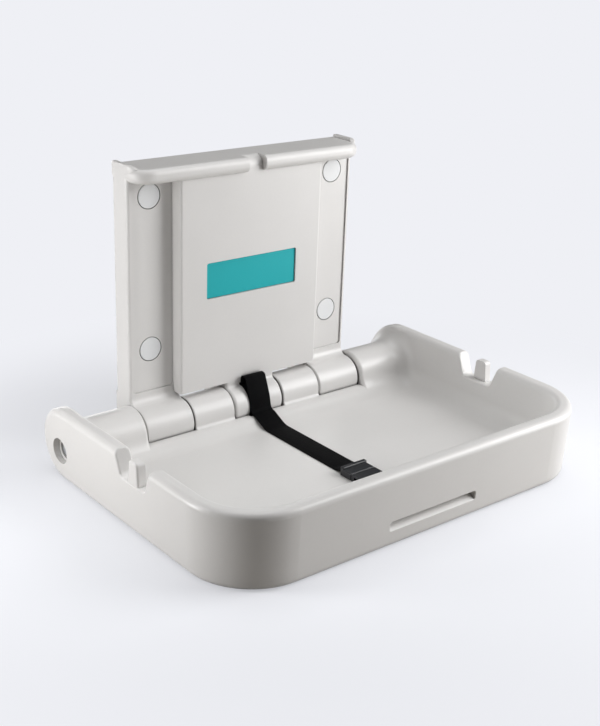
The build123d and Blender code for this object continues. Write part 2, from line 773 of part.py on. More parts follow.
# Bolt caps
cap_names = ("lower_left", "upper_left", "lower_right", "upper_right")
for cap_name, place in zip(cap_names, bolt_places):
    with BuildPart() as bolt_cap:
        with BuildSketch(front_plane(column_face - cap_proud + cap_thickness)):
            with Locations(place):
                Circle(cap_diameter / 2)
        extrude(amount=cap_thickness)
        chamfer(bolt_cap.faces().sort_by(Axis.Y)[0].edges(), cap_edge_chamfer)
    bolt_cap.part.label = f"bolt_cap_{cap_name}"
    export_step(bolt_cap.part, f"parts/bolt_cap_{cap_name}.step")

# Steel sleeves that take the clamping force of the wall bolts
with BuildPart() as bolt_sleeves:
    with BuildSketch(front_plane(hinge_to_wall)):
        with Locations(*bolt_places):
            Circle(sleeve_diameter / 2)
            Circle(bolt_hole_diameter / 2, mode=Mode.SUBTRACT)
    extrude(amount=hinge_to_wall - column_face - bolt_well_depth)
bolt_sleeves.part.label = "bolt_sleeves"
export_step(bolt_sleeves.part, "parts/bolt_sleeves.step")

# Hinge bushes
bush_spans = {
    "left": (-bed_knuckle_end - bush_length, -bed_knuckle_end),
    "center": (-center_knuckle_half, center_knuckle_half),
    "right": (bed_knuckle_end, bed_knuckle_end + bush_length),
}
for bush_name, (start, end) in bush_spans.items():
    with BuildPart() as hinge_bush:
        with BuildSketch(side_plane(start)):
            Circle(bush_diameter / 2)
            Circle(rod_radius + rod_clearance, mode=Mode.SUBTRACT)
        extrude(amount=end - start)
    hinge_bush.part.label = f"hinge_bush_{bush_name}"
    export_step(hinge_bush.part, f"parts/hinge_bush_{bush_name}.step")

# Rotary dampers: a housing keyed in the panel by a flat, and a rotor keyed on the rod
housing_length = panel_half - damper_cover - damper_start
rotor_start = damper_start + damper_wall + rotor_clearance
rotor_length = housing_length - 2 * (damper_wall + rotor_clearance)
for side_name, side in (("left", -1), ("right", 1)):
    housing_x = min(side * damper_start, side * (damper_start + housing_length))
    with BuildPart() as damper_housing:
        with BuildSketch(side_plane(housing_x)):
            Circle(damper_diameter / 2)
            with Locations((0, damper_flat_height + damper_diameter / 2)):
                Rectangle(damper_diameter, damper_diameter, mode=Mode.SUBTRACT)
            Circle(rod_radius + rotor_clearance, mode=Mode.SUBTRACT)
        extrude(amount=housing_length)
        with BuildSketch(side_plane(housing_x + damper_wall)):
            Circle(damper_diameter / 2 - damper_wall)
        extrude(amount=housing_length - 2 * damper_wall, mode=Mode.SUBTRACT)
    damper_housing.part.label = f"damper_housing_{side_name}"
    export_step(damper_housing.part, f"parts/damper_housing_{side_name}.step")

    rotor_x = min(side * rotor_start, side * (rotor_start + rotor_length))
    with BuildPart() as damper_rotor:
        with BuildSketch(side_plane(rotor_x)):
            Circle(damper_diameter / 2 - damper_wall - rotor_clearance)
            with BuildSketch(Plane.XY, mode=Mode.PRIVATE) as rotor_bore:
                Circle(rod_radius + fit_clearance)
                with Locations((0, rod_flat_height + fit_clearance + rod_radius)):
                    Rectangle(2 * rod_diameter, rod_diameter, mode=Mode.SUBTRACT)
            add(rotor_bore.sketch, mode=Mode.SUBTRACT)
        extrude(amount=rotor_length)
    damper_rotor.part.label = f"damper_rotor_{side_name}"
    export_step(damper_rotor.part, f"parts/damper_rotor_{side_name}.step")

# Hinge rod with a flat under each rotor
with BuildPart() as hinge_rod:
    with BuildSketch(side_plane(-rod_half)):
        Circle(rod_radius)
    extrude(amount=2 * rod_half)
    chamfer(hinge_rod.faces().filter_by(Axis.X).edges(), rod_end_chamfer)
    for start in both_sides(rotor_start, rotor_start + rotor_length):
        with BuildSketch(side_plane(start)):
            with Locations((0, rod_flat_height + rod_radius)):
                Rectangle(2 * rod_diameter, rod_diameter)
        extrude(amount=rotor_length, mode=Mode.SUBTRACT)
hinge_rod.part.label = "hinge_rod"
export_step(hinge_rod.part, "parts/hinge_rod.step")

# Washer and nut in each counterbore
nut_start = washer_start + washer_thickness
for side_name, side in (("left", -1), ("right", 1)):
    with BuildPart() as rod_washer:
        with BuildSketch(side_plane(side * washer_start)):
            Circle(washer_diameter / 2)
            Circle(rod_radius + rotor_clearance, mode=Mode.SUBTRACT)
        extrude(amount=side * washer_thickness)
    rod_washer.part.label = f"rod_washer_{side_name}"
    export_step(rod_washer.part, f"parts/rod_washer_{side_name}.step")

    with BuildPart() as rod_nut:
        with BuildSketch(side_plane(side * nut_start)):
            RegularPolygon(nut_across_flats / 2, 6, major_radius=False)
            Circle(rod_radius + fit_clearance, mode=Mode.SUBTRACT)
        extrude(amount=side * nut_height)
    rod_nut.part.label = f"rod_nut_{side_name}"
    export_step(rod_nut.part, f"parts/rod_nut_{side_name}.step")

# Safety strap: looped through the centre knuckle, folded over it and laid along the tub
webbing_low = -tub_floor + strap_clearance
webbing_mid = webbing_low + strap_thickness / 2
grip_mid = webbing_mid + webbing_lift
loop_inner = knuckle_radius + strap_clearance
loop_outer = loop_inner + strap_thickness
layer_radius = loop_outer + strap_thickness / 2
crest_back = raised_face - strap_clearance - strap_thickness
slot_exit = (crest_back, layer_radius - strap_clearance)
crest_front = (crest_back - strap_crest_width, strap_crest_height - strap_thickness)
shelf_top = -hinge_shelf + strap_clearance + strap_thickness
strap_points = [
    (0, layer_radius),
    slot_exit,
    (crest_back, strap_crest_height),
    crest_front,
    on_circle(layer_radius, strap_touch_angle),
    (-layer_radius - strap_thickness, shelf_top + strap_thickness),
    (shelf_edge_depth, shelf_top),
    (blend_depth - strap_thickness, webbing_mid),
    (-buckle_rear + webbing_rise, webbing_mid),
    (-buckle_rear, grip_mid),
    (-buckle_rear - webbing_grip, grip_mid),
]
with BuildPart() as safety_strap:
    with BuildSketch(side_plane(-strap_width / 2)):
        Circle(loop_outer)
        Circle(loop_inner, mode=Mode.SUBTRACT)
        with BuildLine(mode=Mode.PRIVATE) as strap_path:
            FilletPolyline(*strap_points, radius=strap_radii)
        trace(strap_path.line, strap_thickness)
    extrude(amount=strap_width)
safety_strap.part.label = "safety_strap"
export_step(safety_strap.part, "parts/safety_strap.step")

# Buckle plug: a body on the strap's end and a tongue of two arms beside a guide
buckle_low = webbing_low
buckle_mid = buckle_low + buckle_thickness / 2
plug_front = buckle_rear + plug_length
webbing_slot_width = strap_width + 2 * strap_clearance
with BuildPart() as buckle_plug:
    with BuildSketch(plan_plane(buckle_low)):
        with Locations((0, -buckle_rear - plug_length / 2)):
            RectangleRounded(buckle_width, plug_length, buckle_edge_radius)
    extrude(amount=buckle_thickness)
    fillet(buckle_plug.faces().sort_by(Axis.Z)[-1].edges(), buckle_edge_radius)
    with BuildSketch(plan_plane(buckle_low + buckle_thickness / 2)):
        with Locations((0, -buckle_rear - plug_bar_length / 2)):
            RectangleRounded(buckle_width, plug_bar_length, buckle_edge_radius)
    extrude(amount=buckle_thickness / 2 + plug_bar_rise)
    chamfer(buckle_plug.faces().sort_by(Axis.Z)[-1].edges(), plug_bar_chamfer)
    with BuildSketch(plan_plane(buckle_mid - tongue_thickness / 2)):
        with Locations((0, -plug_front - tongue_length / 2 + buckle_edge_radius)):
            Rectangle(tongue_guide_width, tongue_length + 2 * buckle_edge_radius)
            with GridLocations(tongue_spread, 1, 2, 1):
                Rectangle(tongue_arm_width, tongue_length + 2 * buckle_edge_radius)
    extrude(amount=tongue_thickness)
    with BuildSketch(front_plane(-buckle_rear)):
        with Locations((0, grip_mid)):
            Rectangle(webbing_slot_width, webbing_slot_height)
    extrude(amount=webbing_grip + strap_clearance, mode=Mode.SUBTRACT)
buckle_plug.part.label = "buckle_plug"
export_step(buckle_plug.part, "parts/buckle_plug.step")

# Buckle socket: a cavity for the tongue, with a window at each side
socket_rear = plug_front + buckle_gap
socket_front = socket_rear + socket_length
cavity_width = tongue_spread + tongue_arm_width + 2 * tongue_clearance
cavity_height = tongue_thickness + 2 * tongue_clearance
cavity_depth = tongue_length + 2 * tongue_clearance
with BuildPart() as buckle_socket:
    with BuildSketch(plan_plane(buckle_low)):
        with Locations((0, -socket_rear - socket_length / 2)):
            RectangleRounded(buckle_width, socket_length, buckle_edge_radius)
    extrude(amount=buckle_thickness)
    fillet(buckle_socket.faces().sort_by(Axis.Z)[-1].edges(), buckle_edge_radius)
    with BuildSketch(front_plane(-socket_rear)):
        with Locations((0, buckle_mid)):
            Rectangle(cavity_width, cavity_height)
    extrude(amount=cavity_depth, mode=Mode.SUBTRACT)
    with BuildSketch(side_plane(-buckle_width / 2)):
        with Locations((-socket_rear - tongue_length / 2, buckle_mid)):
            Rectangle(tongue_length / 2, cavity_height)
    extrude(amount=buckle_width, mode=Mode.SUBTRACT)
    with BuildSketch(front_plane(-socket_front)):
        with Locations((0, grip_mid)):
            Rectangle(webbing_slot_width, webbing_slot_height)
    extrude(amount=-webbing_grip - strap_clearance, mode=Mode.SUBTRACT)
buckle_socket.part.label = "buckle_socket"
export_step(buckle_socket.part, "parts/buckle_socket.step")

# Short strap from the socket to its anchor near the front wall
front_strap_points = [
    (-socket_front + webbing_grip, grip_mid),
    (-socket_front, grip_mid),
    (-socket_front - webbing_rise, webbing_mid),
    (-front_strap_end, webbing_mid),
]
with BuildPart() as front_strap:
    with BuildSketch(side_plane(-strap_width / 2)):
        with BuildLine(mode=Mode.PRIVATE) as front_path:
            FilletPolyline(*front_strap_points, radius=front_strap_radius)
        trace(front_path.line, strap_thickness)
    extrude(amount=strap_width)
front_strap.part.label = "front_strap"
export_step(front_strap.part, "parts/front_strap.step")

# Anchor plate that clamps the short strap to the tub floor, with its two screws
anchor_channel = strap_thickness + 2 * strap_clearance
anchor_height = anchor_channel + anchor_thickness
anchor_middle = -anchor_rear - anchor_length / 2
with BuildPart() as strap_anchor:
    with BuildSketch(plan_plane(-tub_floor)):
        with Locations((0, anchor_middle)):
            RectangleRounded(anchor_width, anchor_length, buckle_edge_radius)
            with GridLocations(anchor_screw_spacing, 1, 2, 1):
                Circle(anchor_screw_diameter / 2 + fit_clearance, mode=Mode.SUBTRACT)
    extrude(amount=anchor_height)
    with BuildSketch(front_plane(-anchor_rear)):
        with Locations((0, -tub_floor + anchor_channel / 2)):
            Rectangle(webbing_slot_width, anchor_channel)
    extrude(amount=anchor_length, mode=Mode.SUBTRACT)
strap_anchor.part.label = "strap_anchor"
export_step(strap_anchor.part, "parts/strap_anchor.step")

with BuildPart() as anchor_screws:
    with BuildSketch(plan_plane(-tub_floor + anchor_height)):
        with Locations((0, anchor_middle)):
            with GridLocations(anchor_screw_spacing, 1, 2, 1):
                Circle(anchor_screw_head_diameter / 2)
    extrude(amount=anchor_screw_head_height)
    with BuildSketch(plan_plane(-tub_floor + anchor_height)):
        with Locations((0, anchor_middle)):
            with GridLocations(anchor_screw_spacing, 1, 2, 1):
                Circle(anchor_screw_diameter / 2)
    extrude(amount=-anchor_screw_length)
anchor_screws.part.label = "anchor_screws"
export_step(anchor_screws.part, "parts/anchor_screws.step")
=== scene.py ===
"""Baby changing station, open: looks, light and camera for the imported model."""

import json
import logging
import math
from dataclasses import dataclass, field
from enum import Enum
from typing import Callable

import bpy
from mathutils import Matrix, Vector

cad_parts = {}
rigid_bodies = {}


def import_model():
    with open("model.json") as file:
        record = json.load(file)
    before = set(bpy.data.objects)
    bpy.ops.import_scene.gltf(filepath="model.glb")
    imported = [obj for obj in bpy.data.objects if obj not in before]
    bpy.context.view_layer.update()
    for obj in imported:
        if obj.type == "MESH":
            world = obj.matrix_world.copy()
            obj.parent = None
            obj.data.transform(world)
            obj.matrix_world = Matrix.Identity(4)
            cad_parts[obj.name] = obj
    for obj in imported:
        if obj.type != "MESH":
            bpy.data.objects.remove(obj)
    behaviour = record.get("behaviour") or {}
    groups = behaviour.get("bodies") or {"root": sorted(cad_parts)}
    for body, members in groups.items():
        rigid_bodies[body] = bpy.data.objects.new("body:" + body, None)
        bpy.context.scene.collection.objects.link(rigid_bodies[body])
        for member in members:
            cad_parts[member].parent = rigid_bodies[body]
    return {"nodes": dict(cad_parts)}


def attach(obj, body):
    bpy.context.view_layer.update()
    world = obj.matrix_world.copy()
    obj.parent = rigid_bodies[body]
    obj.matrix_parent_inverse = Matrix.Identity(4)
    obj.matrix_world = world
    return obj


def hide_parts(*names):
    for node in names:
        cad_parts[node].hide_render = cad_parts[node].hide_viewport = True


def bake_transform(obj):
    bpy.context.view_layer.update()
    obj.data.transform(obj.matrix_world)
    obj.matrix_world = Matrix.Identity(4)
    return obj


for leftover in list(bpy.data.objects):
    bpy.data.objects.remove(leftover)
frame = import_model()

log = logging.getLogger("changing_station")

# Hinge axis and floor in the shared frame, in metres
HINGE_Y = -0.087
HINGE_Z = -0.2975
FLOOR_Z = -0.3545

# How close a place, and how square a direction, has to be to count as picked
NEAR = 0.0002
SQUARE_ON = 0.9

Point = tuple[float, float]
Test = Callable[[Vector, Vector], bool]


def to_linear(level: float) -> float:
    """Turn one sRGB level into linear light.

    Args:
        level: The level, from 0 to 255.

    Returns:
        The light, from 0 to 1.
    """
    part = level / 255
    if part <= 0.04045:
        return part / 12.92
    return ((part + 0.055) / 1.055) ** 2.4


class Body(Enum):
    """Moving bodies of the station."""

    PANEL = "panel"
    BED = "bed"
    SOCKET = "socket"


class Tone(Enum):
    """Colours of the station and its stage, as sRGB from 0 to 255."""

    SHELL = (219, 217, 215)
    COVER = (186, 185, 181)
    CAP = (226, 227, 228)
    TEAL = (33, 172, 178)
    ZINC = (176, 178, 180)
    COATED = (30, 30, 32)
    ACETAL = (226, 224, 214)
    NYLON = (34, 34, 36)
    WEBBING = (8, 8, 9)
    BUCKLE = (38, 39, 42)
    PAPER = (239, 240, 245)
    DIM_PAPER = (175, 170, 163)
    LIT_PAPER = (247, 248, 252)

    def linear(self) -> tuple[float, float, float, float]:
        """Returns the colour as linear RGBA."""
        red, green, blue = (to_linear(level) for level in self.value)
        return (red, green, blue, 1.0)


def from_hinge(x: float, depth: float, height: float) -> Vector:
    """Place a point that is given from the hinge axis.

    Args:
        x: Distance to the right of the middle, in metres.
        depth: Distance behind the hinge axis, in metres.
        height: Distance above the hinge axis, in metres.

    Returns:
        The point in the shared frame.
    """
    return Vector((x, HINGE_Y + depth, HINGE_Z + height))


@dataclass
class Sheet:
    """A node tree with short calls for adding and joining nodes."""

    tree: bpy.types.NodeTree

    def join(self, source: bpy.types.NodeSocket, target: bpy.types.NodeSocket) -> None:
        """Link one socket to another."""
        self.tree.links.new(source, target)

    def feed(self, value: object, target: bpy.types.NodeSocket) -> None:
        """Link a socket to another one, or set it to a number or a colour.

        Args:
            value: The socket, number or colour that it takes.
            target: The socket.
        """
        if isinstance(value, bpy.types.NodeSocket):
            self.join(value, target)
        else:
            target.default_value = value

    def add(self, kind: str, values: dict | None = None, **settings: object) -> bpy.types.Node:
        """Add a node.

        Args:
            kind: Node type, without the leading ShaderNode.
            values: Sockets, numbers or colours for its inputs, by name.
            settings: Properties of the node itself.

        Returns:
            The new node.
        """
        node = self.tree.nodes.new(kind if kind.startswith("NodeGroup") else "ShaderNode" + kind)
        for key, value in settings.items():
            setattr(node, key, value)
        for key, value in (values or {}).items():
            self.feed(value, node.inputs[key])
        return node

    def run(self, kind: str, *inputs: object, **settings: object) -> bpy.types.NodeSocket:
        """Add a node and feed its inputs in their order.

        Args:
            kind: Node type, without the leading ShaderNode.
            inputs: Sockets or numbers for its inputs.
            settings: Properties of the node itself.

        Returns:
            The socket of its first output.
        """
        node = self.add(kind, **settings)
        for value, target in zip(inputs, node.inputs):
            self.feed(value, target)
        return node.outputs[0]

    def math(self, operation: str, *inputs: object) -> bpy.types.NodeSocket:
        """Returns the result of a math node on numbers or sockets."""
        return self.run("Math", *inputs, operation=operation)

    def noise(self, place: bpy.types.NodeSocket, **values: object) -> bpy.types.NodeSocket:
        """Returns a noise over some coordinates, with values for its other inputs."""
        return self.add("TexNoise", {"Vector": place, **values}).outputs[0]

    def mix(self, blend: str, share: object, base: object, over: object) -> bpy.types.NodeSocket:
        """Mix two colours.

        Args:
            blend: How the second colour acts on the first.
            share: How much of that shows, as a number or a socket.
            base: The first colour.
            over: The second colour.

        Returns:
            The socket with the mixed colour.
        """
        node = self.add("Mix", data_type="RGBA", blend_type=blend)
        first, second = [socket for socket in node.inputs if socket.type == "RGBA"]
        self.feed(share, node.inputs[0])
        self.feed(base, first)
        self.feed(over, second)
        return next(socket for socket in node.outputs if socket.type == "RGBA")

    def effect(self, effect: "Effect", **values: object) -> bpy.types.Node:
        """Returns the node of a shared effect, with values for its inputs."""
        return self.add("Group", values, node_tree=effect.group())

    def bump(self, height: bpy.types.NodeSocket, strength: float, depth: float) -> bpy.types.NodeSocket:
        """Returns normals that are bent by a pattern of heights, its depth in metres."""
        return self.add("Bump", {"Height": height, "Strength": strength, "Distance": depth}).outputs[0]


def clean_sheet(owner: bpy.types.Material | bpy.types.World) -> Sheet:
    """Clear the nodes of a material or a world.

    Args:
        owner: The material or the world.

    Returns:
        Its empty sheet.
    """
    owner.use_nodes = True
    owner.node_tree.nodes.clear()
    return Sheet(owner.node_tree)


class Effect(Enum):
    """Surface effects that several finishes share, each one shader group."""

    MOTTLING = "Mould mottling"
    HANDLING = "Handling gloss"
    GRAIN = "Fine grain"
    BRUSHING = "Drawn lines"
    WEAVE = "Webbing weave"
    # Painted shade in narrow gaps and enclosed corners, from an ambient occlusion node
    CREVICE = "Crevice dust"

    def group(self) -> bpy.types.NodeTree:
        """Build the shader group the first time that it is asked for.

        Returns:
            The shader group.
        """
        made = bpy.data.node_groups.get(self.value)
        if made is None:
            made = bpy.data.node_groups.new(self.value, "ShaderNodeTree")
            EFFECT_BUILDERS[self](made)
        return made


def start_group(
    tree: bpy.types.NodeTree, inputs: dict[str, str], outputs: dict[str, str]
) -> tuple[Sheet, bpy.types.NodeOutputs, bpy.types.NodeInputs]:
    """Give a shader group its sockets.

    Args:
        tree: The new group.
        inputs: Socket type of each input, by name.
        outputs: Socket type of each output, by name.

    Returns:
        The group's sheet, the sockets that it is given and the sockets of its result.
    """
    for name, kind in inputs.items():
        tree.interface.new_socket(name=name, in_out="INPUT", socket_type="NodeSocket" + kind)
    for name, kind in outputs.items():
        tree.interface.new_socket(name=name, in_out="OUTPUT", socket_type="NodeSocket" + kind)
    sheet = Sheet(tree)
    return sheet, sheet.add("NodeGroupInput").outputs, sheet.add("NodeGroupOutput").inputs


def swing(
    sheet: Sheet,
    broad: bpy.types.NodeSocket,
    fine: bpy.types.NodeSocket,
    fine_share: float,
    reach: bpy.types.NodeSocket,
) -> bpy.types.NodeSocket:
    """Join two noises into one that swings about zero.

    Args:
        sheet: The sheet that they are on.
        broad: The broad noise.
        fine: The fine noise.
        fine_share: Share of the fine noise.
        reach: How far the result swings from end to end.

    Returns:
        The socket with the swing.
    """
    middle = 0.5
    rest = sheet.math("MULTIPLY", broad, 1 - fine_share)
    both = sheet.math("MULTIPLY_ADD", fine, fine_share, rest)
    return sheet.math("MULTIPLY", sheet.math("SUBTRACT", both, middle), reach)


def build_mottling(tree: bpy.types.NodeTree) -> None:
    """Make a colour slightly lighter and darker over the surface.

    Args:
        tree: The new group.
    """
    inputs = {"Vector": "Vector", "Base": "Color", "Size": "Float", "Amount": "Float"}
    sheet, given, result = start_group(tree, inputs, {"Color": "Color"})
    broad = sheet.noise(given["Vector"], Scale=given["Size"], Detail=3.0, Roughness=0.5)
    fine = sheet.noise(given["Vector"], Scale=210.0, Detail=2.0)
    change = swing(sheet, broad, fine, fine_share=0.3, reach=given["Amount"])
    factor = sheet.math("ADD", change, 1.0)
    shade = sheet.run("CombineColor", factor, factor, factor)
    sheet.join(sheet.mix("MULTIPLY", 1.0, given["Base"], shade), result["Color"])


def build_handling(tree: bpy.types.NodeTree) -> None:
    """Vary the roughness where hands and cloths have rubbed.

    Args:
        tree: The new group.
    """
    inputs = {"Vector": "Vector", "Roughness": "Float", "Spread": "Float"}
    sheet, given, result = start_group(tree, inputs, {"Roughness": "Float"})
    patches = sheet.noise(given["Vector"], Scale=9.0, Detail=4.0, Roughness=0.6)
    stretch = {"Vector": given["Vector"], "Scale": (14.0, 14.0, 160.0), "Rotation": (0.5, 0.7, 0.2)}
    wiped = sheet.noise(sheet.add("Mapping", stretch).outputs[0], Scale=1.0, Detail=2.0)
    change = swing(sheet, patches, wiped, fine_share=0.35, reach=given["Spread"])
    sheet.join(sheet.math("ADD", given["Roughness"], change), result["Roughness"])


def build_grain(tree: bpy.types.NodeTree) -> None:
    """Give the height of a fine moulded grain.

    Args:
        tree: The new group.
    """
    sheet, given, result = start_group(tree, {"Vector": "Vector", "Size": "Float"}, {"Height": "Float"})
    cell_height = 0.6
    cloud_size = 0.4
    spread = {"Vector": given["Vector"], "Scale": given["Size"], "Randomness": 1.0}
    cells = sheet.add("TexVoronoi", spread, feature="SMOOTH_F1").outputs[0]
    cloud_scale = sheet.math("MULTIPLY", given["Size"], cloud_size)
    cloud = sheet.noise(given["Vector"], Scale=cloud_scale, Detail=2.0)
    sheet.join(sheet.math("MULTIPLY_ADD", cells, cell_height, cloud), result["Height"])


def build_brushing(tree: bpy.types.NodeTree) -> None:
    """Give the fine lines of drawn or turned metal, round the hinge's direction.

    Args:
        tree: The new group.
    """
    sheet, given, result = start_group(tree, {"Vector": "Vector"}, {"Height": "Float", "Mask": "Float"})
    stretch = {"Vector": given["Vector"], "Scale": (3200.0, 60.0, 60.0)}
    lines = sheet.noise(sheet.add("Mapping", stretch).outputs[0], Scale=1.0, Detail=3.0, Roughness=0.6)
    sheet.join(lines, result["Height"])
    sheet.join(sheet.noise(given["Vector"], Scale=120.0, Detail=3.0), result["Mask"])


def build_weave(tree: bpy.types.NodeTree) -> None:
    """Give the yarns of flat webbing, from a map in strap widths, and their height mixed with fibre noise
    for painted yarn shade and highlights.

    Args:
        tree: The new group.
    """
    inputs = {"Vector": "Vector", "Yarns": "Float", "Picks": "Float"}
    sheet, given, result = start_group(tree, inputs, {"Height": "Float", "Shade": "Float"})
    half_pick = 0.5
    lift = 0.35
    fibre_share = 0.5
    parts = sheet.add("SeparateXYZ", {"Vector": given["Vector"]}).outputs
    across = sheet.math("MULTIPLY", parts["X"], given["Yarns"])
    along = sheet.math("MULTIPLY", parts["Y"], given["Picks"])
    yarn = sheet.math("FLOOR", across)
    crown = sheet.math("SINE", sheet.math("MULTIPLY", sheet.math("FRACT", across), math.pi))
    shifted = sheet.math("MULTIPLY_ADD", yarn, half_pick, along)
    over = sheet.math("SINE", sheet.math("MULTIPLY", shifted, 2 * math.pi))
    height = sheet.math("MULTIPLY", crown, sheet.math("MULTIPLY_ADD", over, lift, 1 - lift))
    sheet.join(height, result["Height"])
    # Shade: the yarn height, which paints shade in the valleys and highlights on the crowns, plus random
    # fibre tone
    fibre = sheet.noise(given["Vector"], Scale=55.0, Detail=3.0)
    sheet.join(sheet.math("MULTIPLY_ADD", fibre, fibre_share, height), result["Shade"])


def build_painted_shade(tree: bpy.types.NodeTree) -> None:
    """Paint shade into a colour, darker deep in narrow gaps and enclosed corners.

    Args:
        tree: The new group.
    """
    inputs = {"Base": "Color", "Reach": "Float", "Amount": "Float"}
    sheet, given, result = start_group(tree, inputs, {"Color": "Color"})
    painted_shade_colour = (0.09, 0.085, 0.08, 1.0)
    # Painted shade: the less open space the AO node finds within Reach, the nearer the colour goes to
    # near-black
    sky = sheet.add("AmbientOcclusion", {"Distance": given["Reach"]}, samples=4).outputs["AO"]
    span = {"Value": sky, "From Min": 0.14, "From Max": 0.54, "To Min": 1.0, "To Max": 0.0}
    depth = sheet.add("MapRange", span).outputs[0]
    share = sheet.math("MULTIPLY", depth, given["Amount"])
    sheet.join(sheet.mix("MULTIPLY", share, given["Base"], painted_shade_colour), result["Color"])


EFFECT_BUILDERS = {
    Effect.MOTTLING: build_mottling,
    Effect.HANDLING: build_handling,
    Effect.GRAIN: build_grain,
    Effect.BRUSHING: build_brushing,
    Effect.WEAVE: build_weave,
    Effect.CREVICE: build_painted_shade,
}


@dataclass(frozen=True)
class Finish:
    """A finish of the station's pieces, which becomes one material."""

    name: str
    tone: Tone
    roughness: float

    def material(self) -> bpy.types.Material:
        """Make the material the first time that it is asked for.

        Returns:
            The material.
        """
        made = bpy.data.materials.get(self.name)
        if made is None:
            made = bpy.data.materials.new(self.name)
            sheet = clean_sheet(made)
            shader = sheet.add("BsdfPrincipled", self.look(sheet))
            sheet.add("OutputMaterial", {"Surface": shader.outputs[0]})
        return made

    def look(self, sheet: Sheet) -> dict[str, object]:
        """Build what the shader shows.

        Args:
            sheet: The material's sheet.

        Returns:
            Sockets and numbers for the shader's inputs, by name.
        """
        raise NotImplementedError


@dataclass(frozen=True)
class PlasticFinish(Finish):
    """A moulded plastic: mottled colour, painted shade in narrow gaps, rubbed gloss and a fine grain."""

    mottling: float = 0.10
    patch: float = 7.0
    spread: float = 0.16
    grain: float = 900.0
    depth: float = 0.00006
    relief: float = 0.5
    specular: float = 0.5
    # Painted shade in gaps and enclosed corners: its strength and its reach in metres
    dust: float = 0.0
    painted_shade_reach: float = 0.012

    def look(self, sheet: Sheet) -> dict[str, object]:
        """Build the plastic's colour with painted shade in its gaps, its gloss and its grain.

        Args:
            sheet: The material's sheet.

        Returns:
            Sockets and numbers for the shader's inputs, by name.
        """
        here = sheet.add("TexCoord").outputs["Object"]
        mottling = sheet.effect(
            Effect.MOTTLING, Vector=here, Base=self.tone.linear(), Size=self.patch, Amount=self.mottling
        )
        # Painted shade: the mottled colour darkens in gaps and enclosed corners
        painted_shade_node = sheet.effect(
            Effect.CREVICE, Base=mottling.outputs["Color"], Reach=self.painted_shade_reach, Amount=self.dust
        )
        handling = sheet.effect(Effect.HANDLING, Vector=here, Roughness=self.roughness, Spread=self.spread)
        grain = sheet.effect(Effect.GRAIN, Vector=here, Size=self.grain)
        return {
            "Base Color": painted_shade_node.outputs["Color"],
            "Roughness": handling.outputs["Roughness"],
            "Normal": sheet.bump(grain.outputs["Height"], self.relief, self.depth),
            "Specular IOR Level": self.specular,
        }


@dataclass(frozen=True)
class MetalFinish(Finish):
    """A plated metal with drawn lines and dull spots."""

    mottling: float = 0.25
    patch: float = 60.0
    spread: float = 0.3
    depth: float = 0.00004
    relief: float = 0.4

    def look(self, sheet: Sheet) -> dict[str, object]:
        """Build the metal's colour, spots and lines.

        Args:
            sheet: The material's sheet.

        Returns:
            Sockets and numbers for the shader's inputs, by name.
        """
        here = sheet.add("TexCoord").outputs["Object"]
        mottling = sheet.effect(
            Effect.MOTTLING, Vector=here, Base=self.tone.linear(), Size=self.patch, Amount=self.mottling
        )
        lines = sheet.effect(Effect.BRUSHING, Vector=here)
        smoothest = self.roughness - self.spread / 2
        return {
            "Base Color": mottling.outputs["Color"],
            "Roughness": sheet.math("MULTIPLY_ADD", lines.outputs["Mask"], self.spread, smoothest),
            "Normal": sheet.bump(lines.outputs["Height"], self.relief, self.depth),
            "Metallic": 1.0,
        }


@dataclass(frozen=True)
class WebbingFinish(Finish):
    """Woven strap: yarns that follow the strap's own map, with painted shade in the valleys between yarns
    and painted highlights on their crowns.
    """

    yarns: float = 34.0
    picks: float = 26.0
    # Painted shade in the yarn valleys and painted highlight on the crowns, as shares of the tone
    valley_painted_shade: float = 0.45
    crest_painted_highlight: tuple[float, float, float] = (1.5, 1.5, 1.55)
    spread: float = 0.2
    depth: float = 0.0004
    relief: float = 0.6
    sheen: float = 0.01
    specular: float = 0.04

    def look(self, sheet: Sheet) -> dict[str, object]:
        """Build the webbing's yarns, their painted shade and highlights, and its dull gloss.

        Args:
            sheet: The material's sheet.

        Returns:
            Sockets and numbers for the shader's inputs, by name.
        """
        place = sheet.add("TexCoord").outputs
        weave = sheet.effect(Effect.WEAVE, Vector=place["UV"], Yarns=self.yarns, Picks=self.picks)
        # The ramp paints shade in the valleys between yarns and highlights on their crowns, with random
        # fibre tone
        painted_yarn_shading = sheet.add("ValToRGB")
        sheet.join(weave.outputs["Shade"], painted_yarn_shading.inputs[0])
        dark, light = painted_yarn_shading.color_ramp.elements
        base = self.tone.linear()[:3]
        dark.color = (*(part * self.valley_painted_shade for part in base), 1.0)
        light.color = (*(part * share for part, share in zip(base, self.crest_painted_highlight)), 1.0)
        handling = sheet.effect(
            Effect.HANDLING, Vector=place["Object"], Roughness=self.roughness, Spread=self.spread
        )
        return {
            "Base Color": painted_yarn_shading.outputs[0],
            "Roughness": handling.outputs["Roughness"],
            "Normal": sheet.bump(weave.outputs["Height"], self.relief, self.depth),
            "Sheen Weight": self.sheen,
            "Specular IOR Level": self.specular,
        }


